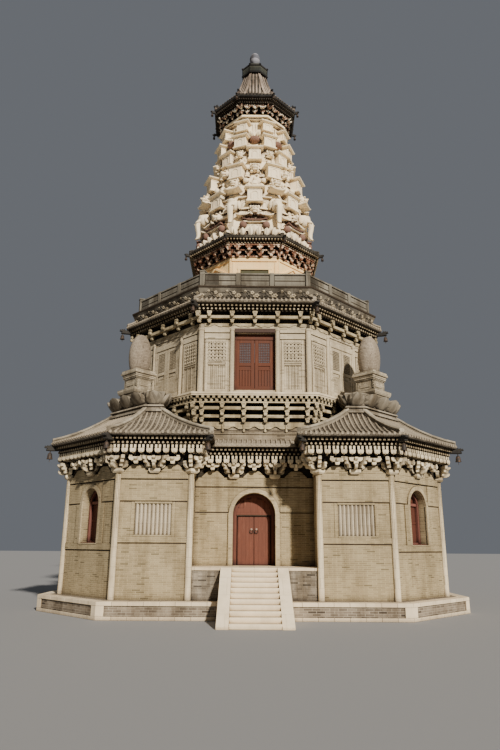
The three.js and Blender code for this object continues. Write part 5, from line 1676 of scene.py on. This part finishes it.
def elephant(size):
    """An elephant's head that leans out: brow, ears, tusks and a trunk that hangs to the ledge."""
    parts = [lumps("head", size, [(1, 0, 0, (0.78, 1.0, 0.95), 2), (0.5, -0.55, 0.35, (1.1, 0.8, 0.8), 2)],
                   [(0.62, 0.8, 0.12, 0.0, (0.3, 0.75, 1.05), 2), (0.1, 0.42, -0.72, 0.3, (1, 1, 1), 1)])]
    angles = [2 * math.pi * k / 10 for k in range(10)]
    trunk = [(-0.7, -0.1, 0.46), (-0.98, -0.5, 0.42), (-1.05, -1.0, 0.4), (-1.0, -1.5, 0.37),
             (-0.9, -2.0, 0.34), (-0.88, -2.5, 0.3), (-1.0, -2.85, 0.26), (-1.22, -3.0, 0.18)]
    rings = [[(radius * size * math.cos(a), (y + 0.9 * radius * math.sin(a)) * size, z * size)
              for a in angles] for y, z, radius in trunk]
    parts.append(skin("trunk", rings))
    for side in (-1, 1):
        tusk = stack("tusk", 6, [(0, 0.13 * size), (0.7 * size, 0.05 * size)])
        tusk.data.transform(shift(side * size * 0.42, -0.75 * size, -0.35 * size)
                            @ Matrix.Rotation(math.radians(115), 4, "X"))
        parts.append(tusk)
    return join("elephant", parts)


def curved_roof(half, depth):
    """A small roof with upturned corners and ribs, as on a niche."""
    rings = []
    for z, reach, lift in ((0.0, 1.0, 0.09), (0.05, 1.04, 0.1), (0.12, 0.82, 0.02),
                           (0.26, 0.55, 0.0), (0.3, 0.5, 0.0)):
        side, front = half * reach, depth * (1 - reach)
        rings.append([(-side, depth, z), (-side, front, z + lift), (-side * 0.5, front, z),
                      (side * 0.5, front, z), (side, front, z + lift), (side, depth, z)])
    parts = [skin("roof", rings)]
    rib_line = ((0.0, 0.06, 1.5), (depth * 0.18, 0.13, 1.25), (depth * 0.45, 0.28, 1.0))
    for i in range(5):
        x = (i - 2) * half * 0.22
        rings = [[(x * share - 0.025, y, z), (x * share, y - 0.02, z + 0.03), (x * share + 0.025, y, z)]
                 for y, z, share in rib_line]
        parts.append(skin("rib", rings))
    return join("niche_roof", parts)


def ringed(piece, places, level, stand, height):
    """Copies round the spire at one height, standing out from the core as it is at a level."""
    reach = core_apothem(level) * (CORNER if places is eight_corners else 1) + stand
    return copies(piece.name, piece, [place @ shift(0, -reach, height) for place in places])


def petal_ring(count, start, reach, height, width, tall, lean):
    """Petals side by side round the spire, the first turned by a share of its own width."""
    places = [turn((k + start) * 2 * math.pi / count) @ shift(0, -reach, height) for k in range(count)]
    return copies("petals", petal(width, 0.0, tall, lean), places)


spire_tiers = {
    "lower": [
        petal_ring(32, 0, 2.78, 17.38, 0.62, 0.62, 0.16),
        petal_ring(48, 0.5, 2.98, 17.36, 0.3, 0.42, 0.12),
        ringed(small_tower(0.9, 0.62), eight_sides, 18.0, 0.26, 17.68),
        ringed(seated(0.62), between, 18.6, 0.06, 18.1),
        ringed(curved_roof(0.4, 0.5), between, 18.7, 0.42, 18.62),
        ringed(lion(0.42), eight_sides, 19.0, 0.2, 18.98),
        ringed(small_tower(0.42, 0.85), between, 19.3, 0.12, 19.1),
        ringed(elephant(0.4), eight_corners, 19.3, 0.12, 19.28)],
    "middle": [
        ringed(small_tower(0.76, 1.05), eight_sides, 20.0, 0.42, 19.42),
        ringed(curved_roof(0.42, 0.5), eight_corners, 20.0, 0.5, 20.1),
        petal_ring(24, 0.5, 2.38, 20.35, 0.5, 0.34, 0.14),
        ringed(seated(0.7), eight_sides, 20.9, 0.1, 20.5),
        ringed(lion(0.4), eight_corners, 20.5, 0.3, 20.6),
        ringed(ball(0.17, 0, 0, 0), between, 20.9, 0.18, 20.95),
        ringed(small_tower(0.72, 1.02), eight_corners, 21.5, 0.42, 21.0),
        ringed(seated(0.5), between, 21.6, 0.02, 21.3),
        ringed(lion(0.42), eight_sides, 21.8, 0.16, 21.85)],
    "upper": [
        petal_ring(24, 0, 1.84, 22.3, 0.42, 0.26, 0.12),
        ringed(small_tower(0.64, 0.95), eight_sides, 22.9, 0.36, 22.4),
        ringed(lion(0.32), eight_corners, 22.9, 0.16, 22.85),
        ringed(small_tower(0.66, 0.9), eight_corners, 23.7, 0.32, 23.3),
        ringed(seated(0.42), between, 23.6, 0.02, 23.35),
        petal_ring(24, 0.5, 1.6, 24.28, 0.36, 0.22, 0.1),
        ringed(small_tower(0.58, 0.74), eight_corners, 24.8, 0.24, 24.5)]}
for x in (-0.08, 0.08):
    upright = block("upright", (x - 0.03, -0.05, 24.5), (x + 0.03, 0.2, 25.2), 0.008)
    spire_tiers["upper"].append(copies("uprights", upright, [side @ shift(0, -1.53) for side in eight_sides]))
for low, high, near, far in ((25.36, 25.42, 1.55, 1.66), (25.47, 25.63, 1.62, 1.74)):
    spire_tiers["upper"].append(octagon_stack("ring", [(low, near), (low + 0.03, far), (high - 0.02, far),
                                                       (high, far - 0.03)]))
# Its brown stain tone also paints shade into the crevices of the carving.
cream = stucco("Cream stucco", rgb(255, 242, 208), rgb(250, 226, 186), rgb(84, 60, 46),
               0.45, 0.18, 0.62, streaks=0.2)
for tier, foot, low, high in (("lower", 17.36, 17.6, 20.0), ("middle", 20.0, 20.0, 22.5),
                              ("upper", 22.5, 22.5, 25.64)):
    levels = [foot] + [z for z, _ in CORE if low < z < high] + [high]
    spire_tiers[tier].append(octagon_stack("core", [(z, core_apothem(z)) for z in levels]))
    carving = fit(join(f"spire_{tier}_carving", spire_tiers[tier]), cream, smooth=35)
    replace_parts(carving, f"spire_{tier}_tier")
rosy = stucco("Rosy plaster", rgb(154, 122, 106), rgb(108, 80, 67), rgb(54, 40, 33), 0.3)
rosy_parts = [ringed(curved_roof(0.62, 0.7), eight_sides, 18.3, 0.5, 18.22),
              ringed(ball(0.28, 0, 0, 0, (1.2, 1, 0.8)), eight_sides, 24.0, 0.08, 23.97),
              ringed(ball(0.2, 0, 0, 0, (1, 1, 1.1)), between, 18.0, 0.36, 18.02)]
fit(join("niche_roofs", rosy_parts), rosy, smooth=35)


# Top roof: dark brackets with pale tips, a double edge of rafters, and a steep roof with
# round ribs up to the collar.
TOP_WALL, TOP_EDGE, TOP_EAVE_TOP, TOP_ROOF_TOP = 1.66, 2.305, 26.56, 29.48
# Near black in its hollows as painted shade; its stain tone also runs in dark streaks.
streak_and_shade_paint = stucco("Streaked bracket paint with painted shade", rgb(255, 244, 216), rgb(150, 114, 92), rgb(26, 22, 19),
                     0.4, 0.32, 0.8, 6.5, 0.36)
top_tile = masonry("Rosy grey roof tile", rgb(186, 168, 150), rgb(124, 110, 98), rgb(90, 80, 72),
                   0.3, 0.5, 0.004, 0.004, patch=0.8)
black_tile = masonry("Soot-black edge tile", rgb(66, 62, 58), rgb(34, 33, 33), rgb(28, 27, 27),
                     0.11, 0.5, 0.006, 0.006, patch=0.8)
top_side = octagon_side(TOP_WALL)
top_under = octagon_stack("top_soffit", [(25.64, 1.6), (26.02, TOP_WALL), (26.1, 1.95), (26.24, 2.1),
                                         (26.36, 2.27), (26.42, 2.29)])
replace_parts(fit(top_under, dark_soffit), "top_roof")
top_parts = octagon_beams(top_side, ((0.22, 0.32, 26.04, 26.09),))
top_parts.append(octagon_sets([(25.66, 25.86, 0.2), (25.86, 26.06, 0.36)], 0.26, 0.07,
                              TOP_WALL, (-0.44, 0, 0.44), 0))
slant_places = [shift(x, -TOP_WALL) @ turn(angle) for x in (-0.62, -0.22, 0.22, 0.62)
                for angle in (EIGHTH, -EIGHTH)]
top_parts.append(repeated("slants", arm(0.85, 0.1, 0.06, 25.9, 0.12, False), slant_places, eight_sides))
fit(join("top_brackets", top_parts), streak_and_shade_paint)
upper_rafters("top_rafters", top_side, 0.125, ((0.06, 0.06, 26.1, 0.2, 0.5), 0.5),
              ((0.055, 0.05, 26.24, 0.3, 0.62), 0.6), dark_tile)
top_path = [(TOP_EAVE_TOP + (TOP_ROOF_TOP - TOP_EAVE_TOP) * ((TOP_EDGE - apothem) / 1.705) ** 2.2, apothem)
            for apothem in (TOP_EDGE, 2.1, 1.9, 1.7, 1.5, 1.3, 1.1, 0.95, 0.8, 0.7, 0.6)]
top_slope = octagon_stack("top_slope", [(26.36, 2.28), (26.4, TOP_EDGE), (26.48, TOP_EDGE)] + top_path)
fit(top_slope, dark_tile)
top_ribs, top_ends = tile_rows([(apothem - TOP_WALL, z) for z, apothem in top_path], top_side, 0.64,
                               eight_sides, 26.53, 0.2, 0.045)
top_hips = corner_hips([(apothem, z) for z, apothem in top_path], 0.075, 0.13)
fit(join("top_tiles", [top_ribs, top_hips]), top_tile, smooth=35)
top_edge = octagon_stack("top_edge", [(26.35, 2.2), (26.38, 2.31), (26.47, 2.312), (26.49, 2.25)])
fit(join("top_edge", [top_edge, top_ends]), black_tile)


def hip_beast(scale):
    """A rearing head that looks outwards, its snout and crest curled up."""
    outline = [(0.3, 0.02), (-0.1, 0.0), (-0.24, 0.03), (-0.3, 0.1), (-0.24, 0.13), (-0.32, 0.2),
               (-0.25, 0.26), (-0.14, 0.22), (-0.12, 0.34), (-0.02, 0.42), (0.04, 0.32), (0.12, 0.28),
               (0.3, 0.18)]
    widths = ((-0.07, 0.6), (-0.042, 1.0), (0.042, 1.0), (0.07, 0.6))
    piece = skin("beast", [[(x * share, y, z) for y, z in outline] for x, share in widths])
    piece.data.transform(Matrix.Scale(scale, 4))
    return piece


beast_places = [corner @ shift(0, -2.34, 26.66) for corner in eight_corners]
fit(copies("top_beasts", hip_beast(0.7), beast_places), black_tile, smooth=35)
corner_bells("top", 0.6, (2.5, 26.36), 0.07, 0.7, (2.64, 26.32))


# Finial: a dark glazed collar of eight sides with two moulded rims and a bead at each corner,
# and a round jewel of greyed clay set on it.
collar_tile = masonry("Dark glazed collar", rgb(92, 92, 80), rgb(40, 44, 44), rgb(34, 36, 36),
                      0.11, 0.5, 0.006, 0.006, patch=0.8)
jewel_clay = masonry("Greyed jewel clay", rgb(164, 162, 168), rgb(110, 110, 118), rgb(98, 98, 104),
                     0.3, 2.0, 0.002, 0.003, patch=0.8)
dress("finial_collar", collar_tile)
beads = [corner @ shift(0, -0.8, 30.02) for corner in eight_corners]
collar_rims = [octagon_stack("rim", [(29.46, 0.66), (29.46, 0.73), (29.54, 0.745), (29.58, 0.71),
                                     (29.6, 0.7)]),
               octagon_stack("rim", [(29.9, 0.735), (29.93, 0.76), (30.02, 0.755), (30.06, 0.69)]),
               copies("beads", ball(0.07, 0, 0, 0, detail=1), beads)]
fit(join("collar_rims", collar_rims), black_tile, smooth=35)
jewel = stack("jewel", 24, [
    (30.44, 0.2), (30.5, 0.2), (30.56, 0.12), (30.62, 0.14), (30.7, 0.23), (30.8, 0.285), (30.93, 0.31),
    (31.06, 0.31), (31.18, 0.28), (31.3, 0.22), (31.4, 0.13), (31.46, 0.06), (31.5, 0.015)])
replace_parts(fit(jewel, jewel_clay, smooth=50), "finial_jewel")
